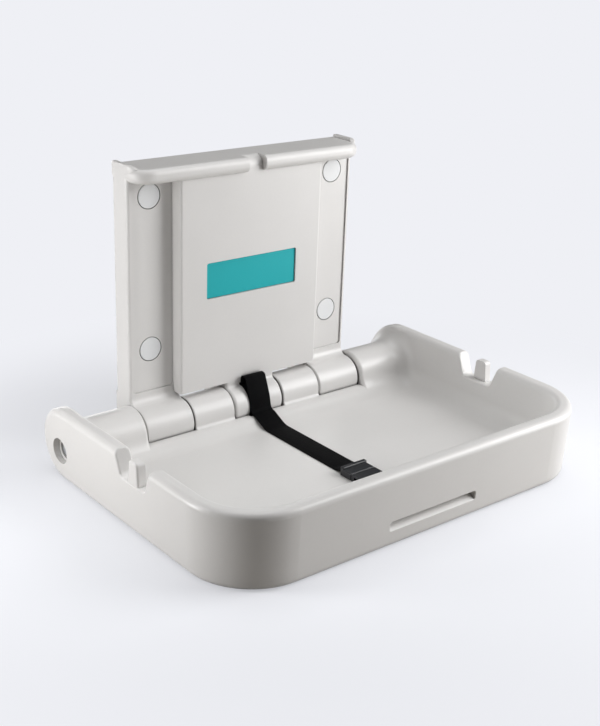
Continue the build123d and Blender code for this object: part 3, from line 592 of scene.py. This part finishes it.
# The shell and the caps take painted shade in their gaps
SHELL = PlasticFinish("shell plastic", Tone.SHELL, 0.31, dust=1.0)
COVER = PlasticFinish("cover plastic", Tone.COVER, 0.55, grain=500.0, depth=0.0001)
CAP = PlasticFinish("cap plastic", Tone.CAP, 0.36, mottling=0.06, grain=1200.0, depth=0.00003, dust=0.9)
TEAL = PlasticFinish("teal sign plastic", Tone.TEAL, 0.38, grain=1500.0, depth=0.00002, specular=0.25)
ACETAL = PlasticFinish("natural acetal", Tone.ACETAL, 0.42)
NYLON = PlasticFinish("black nylon", Tone.NYLON, 0.5, mottling=0.3)
BUCKLE = PlasticFinish("buckle acetal", Tone.BUCKLE, 0.42, mottling=0.2, grain=1400.0, depth=0.00004)
COATED = PlasticFinish("powder coat", Tone.COATED, 0.55, mottling=0.25, grain=700.0, depth=0.00012)
ZINC = MetalFinish("zinc plate", Tone.ZINC, 0.36)
WEBBING = WebbingFinish("black webbing", Tone.WEBBING, 0.62)


def dress(node: str, finish: Finish) -> None:
    """Give a CAD node a finish.

    Args:
        node: Name of the node.
        finish: The finish that it takes.
    """
    frame["nodes"][node].material_slots[0].material = finish.material()
    log.info("dressed %s as %s", node, finish.name)


def settle(piece: bpy.types.Object, finish: Finish) -> None:
    """Give a new piece its finish as its one material.

    Args:
        piece: The finished mesh.
        finish: The finish that it takes.
    """
    piece.data.materials.clear()
    piece.data.materials.append(finish.material())
    log.info("built %s, %d faces", piece.name, len(piece.data.polygons))


def only(piece: bpy.types.Object) -> None:
    """Select one object in object mode and make it the active one.

    Args:
        piece: The object.
    """
    if bpy.context.mode != "OBJECT":
        bpy.ops.object.mode_set(mode="OBJECT")
    bpy.ops.object.select_all(action="DESELECT")
    piece.select_set(True)
    bpy.context.view_layer.objects.active = piece


def start_pick(piece: bpy.types.Object, kind: str) -> None:
    """Leave the piece in object mode with nothing of its mesh selected.

    Args:
        piece: The mesh to work on.
        kind: What is picked next, EDGE or FACE.
    """
    only(piece)
    bpy.ops.object.mode_set(mode="EDIT")
    bpy.ops.mesh.select_mode(type=kind)
    bpy.ops.mesh.select_all(action="DESELECT")
    bpy.ops.object.mode_set(mode="OBJECT")


def pick_faces(piece: bpy.types.Object, test: Test) -> None:
    """Leave the piece in edit mode with the faces selected that pass a test.

    Args:
        piece: The mesh to work on.
        test: Takes a face's centre and normal.
    """
    start_pick(piece, "FACE")
    for face in piece.data.polygons:
        face.select = test(face.center, face.normal)
    bpy.ops.object.mode_set(mode="EDIT")


def pick_edges(piece: bpy.types.Object, test: Test) -> None:
    """Leave the piece in edit mode with the edges selected that pass a test.

    Args:
        piece: The mesh to work on.
        test: Takes an edge's middle and its unit direction.
    """
    start_pick(piece, "EDGE")
    corners = piece.data.vertices
    for edge in piece.data.edges:
        first, last = (corners[index].co for index in edge.vertices)
        edge.select = test((first + last) / 2, (last - first).normalized())
    bpy.ops.object.mode_set(mode="EDIT")


def leave_edit() -> None:
    """Go back to object mode."""
    bpy.ops.object.mode_set(mode="OBJECT")


def apply_place() -> None:
    """Put the place, turn and size of the selected objects into their meshes."""
    bpy.ops.object.transform_apply(location=True, rotation=True, scale=True)


def add_modifier(piece: bpy.types.Object, kind: str, **settings: object) -> None:
    """Add a modifier and apply it.

    Args:
        piece: The mesh to work on.
        kind: Modifier type.
        settings: Its properties.
    """
    only(piece)
    modifier = piece.modifiers.new(kind.lower(), kind)
    for key, value in settings.items():
        setattr(modifier, key, value)
    bpy.ops.object.modifier_apply(modifier=modifier.name)


def round_edges(piece: bpy.types.Object, radius: float, segments: int, sharp: float) -> None:
    """Round the sharp edges of a piece.

    Args:
        piece: The mesh to work on.
        radius: Width of the rounding, in metres.
        segments: Faces across the rounding.
        sharp: Angle in degrees from which an edge is rounded.
    """
    limit = math.radians(sharp)
    add_modifier(
        piece, "BEVEL", width=radius, segments=segments, limit_method="ANGLE", angle_limit=limit
    )


def smooth(piece: bpy.types.Object, angle: float) -> None:
    """Shade a piece smooth below an angle in degrees."""
    only(piece)
    bpy.ops.object.shade_smooth_by_angle(angle=math.radians(angle))


def face_outwards(piece: bpy.types.Object) -> None:
    """Turn all faces of a closed piece outwards.

    Args:
        piece: The mesh to work on.
    """
    only(piece)
    bpy.ops.object.mode_set(mode="EDIT")
    bpy.ops.mesh.select_all(action="SELECT")
    bpy.ops.mesh.normals_make_consistent(inside=False)
    leave_edit()


def mirror_copy(piece: bpy.types.Object, name: str) -> bpy.types.Object:
    """Copy a finished piece to the other side of the middle plane.

    Args:
        piece: The finished mesh.
        name: Name of the copy.

    Returns:
        The copy, with its own mesh.
    """
    only(piece)
    bpy.ops.object.duplicate()
    copy = bpy.context.active_object
    copy.name = name
    copy.scale.x = -1.0
    apply_place()
    face_outwards(copy)
    return copy


def thicken(piece: bpy.types.Object, thickness: float) -> None:
    """Give a sheet of webbing its thickness and soft edges.

    Args:
        piece: The sheet.
        thickness: Thickness of the webbing, in metres.
    """
    edge_share = 0.3
    add_modifier(piece, "SOLIDIFY", thickness=thickness, offset=0.0, use_even_offset=True)
    round_edges(piece, radius=thickness * edge_share, segments=2, sharp=60.0)
    smooth(piece, angle=40.0)


@dataclass
class Strip:
    """A flat strap laid through points of its route, with rounded bends."""

    name: str
    width: float
    thickness: float
    route: list[Point]
    radii: list[float]
    segments: int = 8

    def build(self) -> bpy.types.Object:
        """Lay the strap along its route.

        Returns:
            The strap as a closed mesh, with a map that follows it.
        """
        start, second = self.route[0], self.route[1]
        bpy.ops.object.select_all(action="DESELECT")
        bpy.ops.mesh.primitive_plane_add(size=self.width)
        piece = bpy.context.active_object
        piece.name = self.name
        head = Vector((0, self.width / 2, 0))
        pick_edges(piece, lambda middle, way: (middle - head).length < NEAR)
        bpy.ops.transform.translate(value=from_hinge(0, *start) - head)
        pick_edges(piece, lambda middle, way: (middle + head).length < NEAR)
        bpy.ops.transform.translate(value=from_hinge(0, *second) + head)
        for here, there in zip(self.route[1:], self.route[2:]):
            step = Vector((0, there[0] - here[0], there[1] - here[1]))
            bpy.ops.mesh.extrude_region_move(TRANSFORM_OT_translate={"value": step})
        leave_edit()
        self.round_bends(piece)
        self.map_run(piece)
        thicken(piece, self.thickness)
        return piece

    def round_bends(self, piece: bpy.types.Object) -> None:
        """Bevel each inner cross edge to its bend radius.

        Args:
            piece: The strip with sharp bends.
        """
        for before, here, after, radius in zip(self.route, self.route[1:], self.route[2:], self.radii):
            into = Vector((here[0] - before[0], here[1] - before[1]))
            out = Vector((after[0] - here[0], after[1] - here[1]))
            offset = radius * math.tan(into.angle(out) / 2)
            spot = from_hinge(0, *here)
            pick_edges(
                piece, lambda middle, way: (middle - spot).length < NEAR and abs(way.x) > SQUARE_ON
            )
            bpy.ops.mesh.bevel(
                offset=offset, segments=self.segments, affect="EDGES", clamp_overlap=False
            )
            leave_edit()

    @staticmethod
    def cross_line(spot: Vector) -> Point:
        """Returns the place of a cross line of the strip, the same at both of its edges."""
        digits = 5
        return (round(spot.y, digits), round(spot.z, digits))

    def map_run(self, piece: bpy.types.Object) -> None:
        """Map the strip in strap widths, across and along its run.

        Args:
            piece: The strip before it has a thickness.
        """
        mesh = piece.data
        side = [vertex.index for vertex in mesh.vertices if vertex.co.x > 0]
        near: dict[int, list[int]] = {index: [] for index in side}
        for edge in mesh.edges:
            first, last = edge.vertices
            if first in near and last in near:
                near[first].append(last)
                near[last].append(first)
        begin = from_hinge(self.width / 2, *self.route[0])
        here = min(side, key=lambda index: (mesh.vertices[index].co - begin).length)
        run: dict[Point, float] = {}
        done: set[int] = set()
        length = 0.0
        while here is not None:
            done.add(here)
            spot = mesh.vertices[here].co
            run[self.cross_line(spot)] = length
            following = [index for index in near[here] if index not in done]
            if following:
                length += (mesh.vertices[following[0]].co - spot).length
            here = following[0] if following else None
        layer = mesh.uv_layers.new(name="run")
        for loop in mesh.loops:
            spot = mesh.vertices[loop.vertex_index].co
            along = run[self.cross_line(spot)]
            layer.data[loop.index].uv = (spot.x / self.width + 0.5, along / self.width)
        log.info("%s is %.3f m long", self.name, length)


@dataclass
class SafetyStrap:
    """The strap from the centre knuckle to the buckle, and its short half at the front."""

    width: float = 0.050
    thickness: float = 0.002
    loop_radius: float = 0.0434
    loop_corners: int = 96
    long_route: list[Point] = field(default_factory=lambda: [
        (0.0, 0.0454), (-0.0104, 0.0450), (-0.0104, 0.0630), (-0.0234, 0.0610), (-0.0401, 0.0213),
        (-0.0474, -0.0076), (-0.0591, -0.0096), (-0.0955, -0.0266), (-0.302, -0.0266), (-0.326, -0.0226),
        (-0.340, -0.0226),
    ])
    long_radii: list[float] = field(default_factory=lambda: [
        0.004, 0.005, 0.005, 0.040, 0.012, 0.020, 0.040, 0.020, 0.020,
    ])
    long_bend: tuple[Point, Point] = ((-0.0104, 0.063), (-0.059, 0.020))
    short_route: list[Point] = field(default_factory=lambda: [
        (-0.3943, -0.0226), (-0.4083, -0.0226), (-0.4323, -0.0266), (-0.472, -0.0266),
    ])
    short_radii: list[float] = field(default_factory=lambda: [0.016, 0.016])
    short_bend: tuple[Point, Point] = ((-0.4083, -0.0226), (-0.450, -0.0266))

    def build(self) -> None:
        """Build the strap's three pieces and tie the loop to the panel."""
        long = Strip("safety_strap_webbing", self.width, self.thickness, self.long_route, self.long_radii)
        strap = long.build()
        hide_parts("safety_strap")
        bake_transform(strap)
        settle(strap, WEBBING)
        loop = self.loop()
        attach(loop, Body.PANEL.value)
        settle(loop, WEBBING)
        short = Strip("front_strap_webbing", self.width, self.thickness, self.short_route, self.short_radii)
        front = short.build()
        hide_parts("front_strap")
        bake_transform(front)
        settle(front, WEBBING)

    def loop(self) -> bpy.types.Object:
        """Build the sewn loop round the centre knuckle.

        Returns:
            The loop, with a map in strap widths.
        """
        bpy.ops.object.select_all(action="DESELECT")
        bpy.ops.mesh.primitive_cylinder_add(
            vertices=self.loop_corners, radius=self.loop_radius, depth=self.width, end_fill_type="NOTHING",
            location=from_hinge(0, 0, 0), rotation=(0, math.pi / 2, 0),
        )
        piece = bpy.context.active_object
        piece.name = "strap_loop_webbing"
        apply_place()
        layer = piece.data.uv_layers[0]
        layer.name = "run"
        # The primitive's own map gives its wall half of the height
        across = 2
        around = 2 * math.pi * self.loop_radius / self.width
        for entry in layer.data:
            entry.uv = (entry.uv.y * across, entry.uv.x * around)
        thicken(piece, self.thickness)
        return piece


@dataclass
class HexNuts:
    """The chamfered hex nuts on the two ends of the hinge rod."""

    seat: float = 0.403
    height: float = 0.011
    corners: int = 6
    flats: float = 0.024
    flat_cuts: int = 3
    bore: float = 0.00805
    chamfer: float = 0.0011

    def build(self) -> None:
        """Build one nut on its washer, copy it to the other end and let both turn with the bed."""
        left = self.nut("hex_nut_left")
        right = mirror_copy(left, "hex_nut_right")
        for piece, node in ((left, "rod_nut_left"), (right, "rod_nut_right")):
            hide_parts(node)
            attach(piece, Body.BED.value)
            settle(piece, ZINC)

    def nut(self, name: str) -> bpy.types.Object:
        """Build the left nut.

        Args:
            name: Its name.

        Returns:
            The nut in its place.
        """
        bpy.ops.object.select_all(action="DESELECT")
        bpy.ops.mesh.primitive_circle_add(vertices=self.corners, radius=self.flats / math.sqrt(3))
        piece = bpy.context.active_object
        piece.name = name
        bpy.ops.object.mode_set(mode="EDIT")
        bpy.ops.mesh.select_all(action="SELECT")
        bpy.ops.mesh.subdivide(number_cuts=self.flat_cuts)
        bpy.ops.mesh.primitive_circle_add(vertices=self.corners * (self.flat_cuts + 1), radius=self.bore)
        bpy.ops.mesh.select_all(action="SELECT")
        bpy.ops.mesh.bridge_edge_loops()
        bpy.ops.mesh.extrude_region_move(TRANSFORM_OT_translate={"value": (0, 0, self.height)})
        leave_edit()
        face_outwards(piece)
        pick_edges(piece, self.rings_the_top)
        bpy.ops.mesh.bevel(offset=self.chamfer, segments=2, affect="EDGES")
        leave_edit()
        piece.rotation_euler = (0, -math.pi / 2, 0)
        piece.location = from_hinge(-self.seat, 0, 0)
        only(piece)
        apply_place()
        smooth(piece, angle=25.0)
        return piece

    def rings_the_top(self, middle: Vector, way: Vector) -> bool:
        """Tell whether an edge runs round the top face and not across it.

        Args:
            middle: The edge's middle.
            way: The edge's direction.

        Returns:
            True for an edge of the bore or of the flats.
        """
        outwards = Vector((middle.x, middle.y, 0)).normalized()
        return middle.z > self.height - NEAR and abs(way.dot(outwards)) < math.cos(math.pi / 4)


class Facing(Enum):
    """Which way the heads of a row of screws look, as a turn about X in degrees."""

    UP = 0.0
    BACK = -90.0


@dataclass
class PanScrews:
    """A row of pan-head screws with cross recesses."""

    node: str
    body: Body
    facing: Facing
    seats: list[Vector]
    shank_length: float
    head_height: float
    head_radius: float = 0.004
    head_rounding: float = 0.55
    shank_radius: float = 0.002
    tip_share: float = 0.15
    tip_taper: float = 0.3
    slot_width: float = 0.0011
    slot_length: float = 0.0046

    def build(self) -> None:
        """Build one screw, copy it to every seat and join the row."""
        first = self.screw()
        row = [first]
        for _ in self.seats[1:]:
            only(first)
            bpy.ops.object.duplicate()
            row.append(bpy.context.active_object)
        for piece, seat in zip(row, self.seats):
            piece.rotation_euler = (math.radians(self.facing.value), 0, 0)
            piece.location = seat
            only(piece)
            apply_place()
        only(first)
        for piece in row:
            piece.select_set(True)
        bpy.ops.object.join()
        first.name = self.node + "_crossed"
        smooth(first, angle=30.0)
        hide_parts(self.node)
        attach(first, self.body.value)
        settle(first, ZINC)

    def screw(self) -> bpy.types.Object:
        """Build one screw.

        Returns:
            The screw, standing on the origin with its head up.
        """
        bpy.ops.object.select_all(action="DESELECT")
        bpy.ops.mesh.primitive_cylinder_add(
            vertices=32, radius=self.head_radius, depth=self.head_height,
            location=(0, 0, self.head_height / 2),
        )
        piece = bpy.context.active_object
        apply_place()
        pick_edges(piece, lambda middle, way: middle.z > self.head_height - NEAR)
        bpy.ops.mesh.bevel(offset=self.head_height * self.head_rounding, segments=4, affect="EDGES")
        leave_edit()
        pick_faces(piece, lambda middle, normal: normal.z < -SQUARE_ON)
        bpy.ops.mesh.inset(thickness=self.head_radius - self.shank_radius)
        for share in (1 - self.tip_share, self.tip_share):
            step = (0, 0, -self.shank_length * share)
            bpy.ops.mesh.extrude_region_move(TRANSFORM_OT_translate={"value": step})
        bpy.ops.transform.resize(value=(self.tip_taper, self.tip_taper, 1.0))
        leave_edit()
        for turn in (0.0, math.pi / 2):
            self.cut_slot(piece, turn)
        return piece

    def cut_slot(self, piece: bpy.types.Object, turn: float) -> None:
        """Cut one arm of the cross recess.

        Args:
            piece: The screw.
            turn: Direction of the arm, in radians.
        """
        bpy.ops.object.select_all(action="DESELECT")
        bpy.ops.mesh.primitive_cube_add(
            size=1.0, location=(0, 0, self.head_height), rotation=(0, 0, turn),
            scale=(self.slot_length, self.slot_width, self.head_height),
        )
        cutter = bpy.context.active_object
        apply_place()
        add_modifier(piece, "BOOLEAN", operation="DIFFERENCE", object=cutter, solver="EXACT")
        bpy.data.objects.remove(cutter)


@dataclass
class LedgeEnds:
    """The soft lips over the ends of the ledge, drawn round the corners and down into the nose."""

    outer: float = 0.2660
    width: float = 0.0104
    top: float = 0.5081
    foot: float = 0.4880
    rear: float = 0.0678
    corner_x: float = 0.2265
    corner_depth: float = 0.018
    sweep: float = 58.0
    drop: float = 0.0095
    pull: float = 0.20
    lean: float = 0.0009
    rounding: float = 0.0026
    steps: int = 10

    def build(self) -> None:
        """Build one lip, copy it to the other end and fix both to the panel."""
        left = self.lip("ledge_end_left")
        right = mirror_copy(left, "ledge_end_right")
        for piece in (left, right):
            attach(piece, Body.PANEL.value)
            settle(piece, SHELL)

    def lip(self, name: str) -> bpy.types.Object:
        """Build the left lip.

        Args:
            name: Its name.

        Returns:
            The lip in its place.
        """
        length = self.rear - self.corner_depth
        height = self.top - self.foot
        middle = from_hinge(
            self.width / 2 - self.outer, self.corner_depth + length / 2, self.foot + height / 2
        )
        bpy.ops.object.select_all(action="DESELECT")
        bpy.ops.mesh.primitive_cube_add(size=1.0, location=middle, scale=(self.width, length, height))
        piece = bpy.context.active_object
        piece.name = name
        apply_place()
        pick_edges(
            piece, lambda spot, way: spot.z < middle.z and spot.x < middle.x and abs(way.y) > SQUARE_ON
        )
        bpy.ops.transform.translate(value=(self.lean, 0, 0))
        leave_edit()
        self.draw_round(piece)
        round_edges(piece, radius=self.rounding, segments=4, sharp=50.0)
        smooth(piece, angle=50.0)
        return piece

    def draw_round(self, piece: bpy.types.Object) -> None:
        """Draw the front face round the ledge's corner while it sinks and closes in.

        Args:
            piece: The straight part of the lip.
        """
        centre = from_hinge(-self.corner_x, self.corner_depth, self.top)
        turn = math.radians(self.sweep / self.steps)
        parts = [step / self.steps for step in range(self.steps + 1)]
        eased = [part * part * (3 - 2 * part) for part in parts]
        pick_faces(piece, lambda spot, normal: normal.y < -SQUARE_ON)
        for before, after in zip(eased, eased[1:]):
            closer = (1 - self.pull * after) / (1 - self.pull * before)
            sink = Vector((0, 0, -self.drop * (after - before)))
            bpy.ops.mesh.extrude_region_move(TRANSFORM_OT_translate={"value": sink})
            # Without a window the turn goes the other way round, hence the minus
            bpy.ops.transform.rotate(value=-turn, orient_axis="Z", center_override=centre)
            bpy.ops.transform.resize(value=(closer, closer, 1.0), center_override=centre)
        leave_edit()


@dataclass
class BackPanel:
    """The fixed half: moulding, caps, sign, back cover and what holds them."""

    caps: tuple[str, ...] = (
        "bolt_cap_lower_left", "bolt_cap_upper_left", "bolt_cap_lower_right", "bolt_cap_upper_right",
    )
    screw_side: float = 0.2235
    screw_heights: tuple[float, float] = (0.0895, 0.4645)
    screw_seat: float = 0.082
    shank_length: float = 0.026
    head_height: float = 0.0026

    def build(self) -> None:
        """Dress the panel's pieces, finish the ledge and put in the back cover's screws."""
        dress("panel_shell", SHELL)
        dress("panel_back_cover", COVER)
        dress("sign_plate", TEAL)
        for cap in self.caps:
            dress(cap, CAP)
        dress("bolt_sleeves", ZINC)
        LedgeEnds().build()
        seats = [
            from_hinge(x, self.screw_seat, height)
            for x in (-self.screw_side, self.screw_side)
            for height in self.screw_heights
        ]
        PanScrews(
            "cover_screws", Body.PANEL, Facing.BACK, seats, self.shank_length, self.head_height
        ).build()


@dataclass
class FoldingBed:
    """The tub with its hinge rod, dampers and buckle."""

    sides: tuple[str, str] = ("left", "right")
    screw_side: float = 0.033
    anchor_depth: float = -0.462
    anchor_top: float = -0.0232
    shank_length: float = 0.014
    head_height: float = 0.0024

    def build(self) -> None:
        """Dress the bed's pieces, put the nuts on the rod and the screws in the anchor."""
        dress("bed_shell", SHELL)
        dress("hinge_rod", ZINC)
        HexNuts().build()
        for side in self.sides:
            dress("rod_washer_" + side, ZINC)
            dress("damper_housing_" + side, NYLON)
            dress("damper_rotor_" + side, NYLON)
        for place in (*self.sides, "center"):
            dress("hinge_bush_" + place, ACETAL)
        dress("buckle_plug", BUCKLE)
        dress("buckle_socket", BUCKLE)
        dress("strap_anchor", COATED)
        seats = [
            from_hinge(x, self.anchor_depth, self.anchor_top) for x in (-self.screw_side, self.screw_side)
        ]
        PanScrews(
            "anchor_screws", Body.BED, Facing.UP, seats, self.shank_length, self.head_height
        ).build()


@dataclass
class Softbox:
    """One soft studio lamp, aimed at the middle of the station."""

    name: str
    towards: tuple[float, float, float]
    distance: float
    width: float
    height: float
    power: float
    tint: tuple[float, float, float] = (0.99, 0.995, 1.0)

    def build(self, target: Vector) -> None:
        """Hang the lamp.

        Args:
            target: The point that it faces.
        """
        way = Vector(self.towards).normalized()
        lamp = bpy.data.lights.new(self.name, "AREA")
        lamp.shape = "RECTANGLE"
        lamp.size = self.width
        lamp.size_y = self.height
        lamp.energy = self.power
        lamp.color = self.tint
        holder = bpy.data.objects.new(self.name, lamp)
        holder.location = target + way * self.distance
        holder.rotation_euler = way.to_track_quat("Z", "Y").to_euler()
        bpy.context.scene.collection.objects.link(holder)


@dataclass
class Studio:
    """Pale floor, soft light and the camera at the photograph's angle."""

    azimuth: float = -39.54
    elevation: float = 21.21
    roll: float = 2.12
    focal_px: float = 1215.09
    image_height: float = 726.0
    sensor: float = 36.0
    sight: float = 60.0
    shift_to_hinge: tuple[float, float, float] = (-0.10914, 0.12830, 2.49842)
    floor_radius: float = 9.0
    floor_gap: float = 0.0005
    shadow_depth: float = -0.26
    shadow_reach: float = 0.5
    fade_reach: float = 1.0
    shadow_glow: float = 0.5
    ambient: float = 0.01
    ambient_tint: tuple[float, float, float, float] = (1.0, 0.965, 0.93, 1.0)
    middle: tuple[float, float, float] = (0.0, -0.30, -0.15)
    boxes: list[Softbox] = field(default_factory=lambda: [
        Softbox("left softbox", (-0.88, 0.47, 0.10), 3.2, 1.2, 0.9, 34.0),
        Softbox("left strip", (-0.95, 0.14, 0.25), 1.0, 0.25, 0.8, 3.4),
        Softbox("right softbox", (0.80, -0.56, 0.20), 2.2, 1.2, 1.4, 33.5),
        Softbox("high right softbox", (0.60, -0.52, 0.62), 2.2, 1.3, 1.3, 26.5),
        Softbox("top softbox", (0.0, 0.12, 1.0), 2.2, 2.0, 1.6, 20.0),
        Softbox("back softbox", (0.20, 0.98, 0.02), 2.6, 1.4, 0.7, 9.0),
    ])

    def build(self) -> None:
        """Set up the whole studio."""
        scene = bpy.context.scene
        scene.view_settings.view_transform = "Standard"
        self.place_camera(scene)
        self.lay_floor()
        self.light_world(scene)
        for box in self.boxes:
            box.build(Vector(self.middle))

    def place_camera(self, scene: bpy.types.Scene) -> None:
        """Put the camera where the photograph was taken from.

        Args:
            scene: The scene that it belongs to.
        """
        turn, tilt = math.radians(self.azimuth), math.radians(self.elevation)
        level = Vector((math.sin(turn), -math.cos(turn), 0)) * math.cos(tilt)
        back = level + Vector((0, 0, math.sin(tilt)))
        right = (-back).cross(Vector((0, 0, 1))).normalized()
        down = -right.cross(-back)
        leaned = math.radians(self.roll)
        rolled_right = right * math.cos(leaned) - down * math.sin(leaned)
        rolled_down = right * math.sin(leaned) + down * math.cos(leaned)
        x, y, z = self.shift_to_hinge
        place = -(rolled_right * x + rolled_down * y - back * z) + Vector((0, HINGE_Y, FLOOR_Z))
        camera = bpy.data.cameras.new("photo camera")
        camera.sensor_width = self.sensor
        camera.lens = self.sensor * self.focal_px / self.image_height
        camera.clip_end = self.sight
        holder = bpy.data.objects.new("photo camera", camera)
        columns = Matrix((rolled_right, -rolled_down, back)).transposed()
        holder.matrix_world = Matrix.Translation(place) @ columns.to_4x4()
        scene.collection.objects.link(holder)
        scene.camera = holder

    def lay_floor(self) -> None:
        """Lay a pale floor under the station."""
        bpy.ops.object.select_all(action="DESELECT")
        bpy.ops.mesh.primitive_circle_add(
            vertices=96, radius=self.floor_radius, fill_type="NGON",
            location=(0, self.middle[1], FLOOR_Z - self.floor_gap),
        )
        floor = bpy.context.active_object
        floor.name = "studio_floor"
        apply_place()
        floor.data.materials.append(self.paper())

    def paper(self) -> bpy.types.Material:
        """Make the floor's paper, which keeps a soft shadow near the station and fades out around it.

        Returns:
            The material.
        """
        material = bpy.data.materials.new("studio paper")
        sheet = clean_sheet(material)
        rays = sheet.add("LightPath").outputs
        shade = sheet.mix("MIX", rays["Is Diffuse Ray"], Tone.LIT_PAPER.linear(), Tone.DIM_PAPER.linear())
        matte = sheet.add("BsdfDiffuse", {"Color": shade})
        glow = sheet.add("Emission", {"Strength": 1.0, "Color": Tone.PAPER.linear()})
        shift = (0.0, -HINGE_Y - self.shadow_depth, -FLOOR_Z)
        here = sheet.add("TexCoord").outputs["Object"]
        centred = sheet.add("Mapping", {"Vector": here, "Location": shift}).outputs[0]
        reach = sheet.add("VectorMath", {"Vector": centred}, operation="LENGTH").outputs["Value"]
        span = {
            "Value": reach, "From Min": self.shadow_reach, "From Max": self.fade_reach,
            "To Min": self.shadow_glow, "To Max": 1.0,
        }
        fade = sheet.add("MapRange", span, interpolation_type="SMOOTHSTEP").outputs[0]
        seen = sheet.math("MAXIMUM", rays["Is Camera Ray"], rays["Is Glossy Ray"])
        seen = sheet.math("MAXIMUM", seen, rays["Is Transmission Ray"])
        share = sheet.math("MULTIPLY", seen, fade)
        surface = sheet.run("MixShader", share, matte.outputs[0], glow.outputs[0])
        sheet.add("OutputMaterial", {"Surface": surface})
        return material

    def light_world(self, scene: bpy.types.Scene) -> None:
        """Show the pale background to the camera and give the station a soft warm fill.

        Args:
            scene: The scene that it belongs to.
        """
        world = bpy.data.worlds.new("studio air")
        scene.world = world
        sheet = clean_sheet(world)
        fill = sheet.add("Background", {"Strength": self.ambient, "Color": self.ambient_tint})
        shown = sheet.add("Background", {"Strength": 1.0, "Color": Tone.PAPER.linear()})
        rays = sheet.add("LightPath").outputs
        seen = sheet.math("MAXIMUM", rays["Is Camera Ray"], rays["Is Transmission Ray"])
        surface = sheet.run("MixShader", seen, fill.outputs[0], shown.outputs[0])
        sheet.add("OutputWorld", {"Surface": surface})


def main() -> None:
    """Build the studio and dress the station, one sub-assembly after the other."""
    logging.basicConfig(level=logging.INFO, format="%(name)s %(message)s")
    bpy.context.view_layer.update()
    Studio().build()
    BackPanel().build()
    FoldingBed().build()
    SafetyStrap().build()


if __name__ == "__main__":
    main()
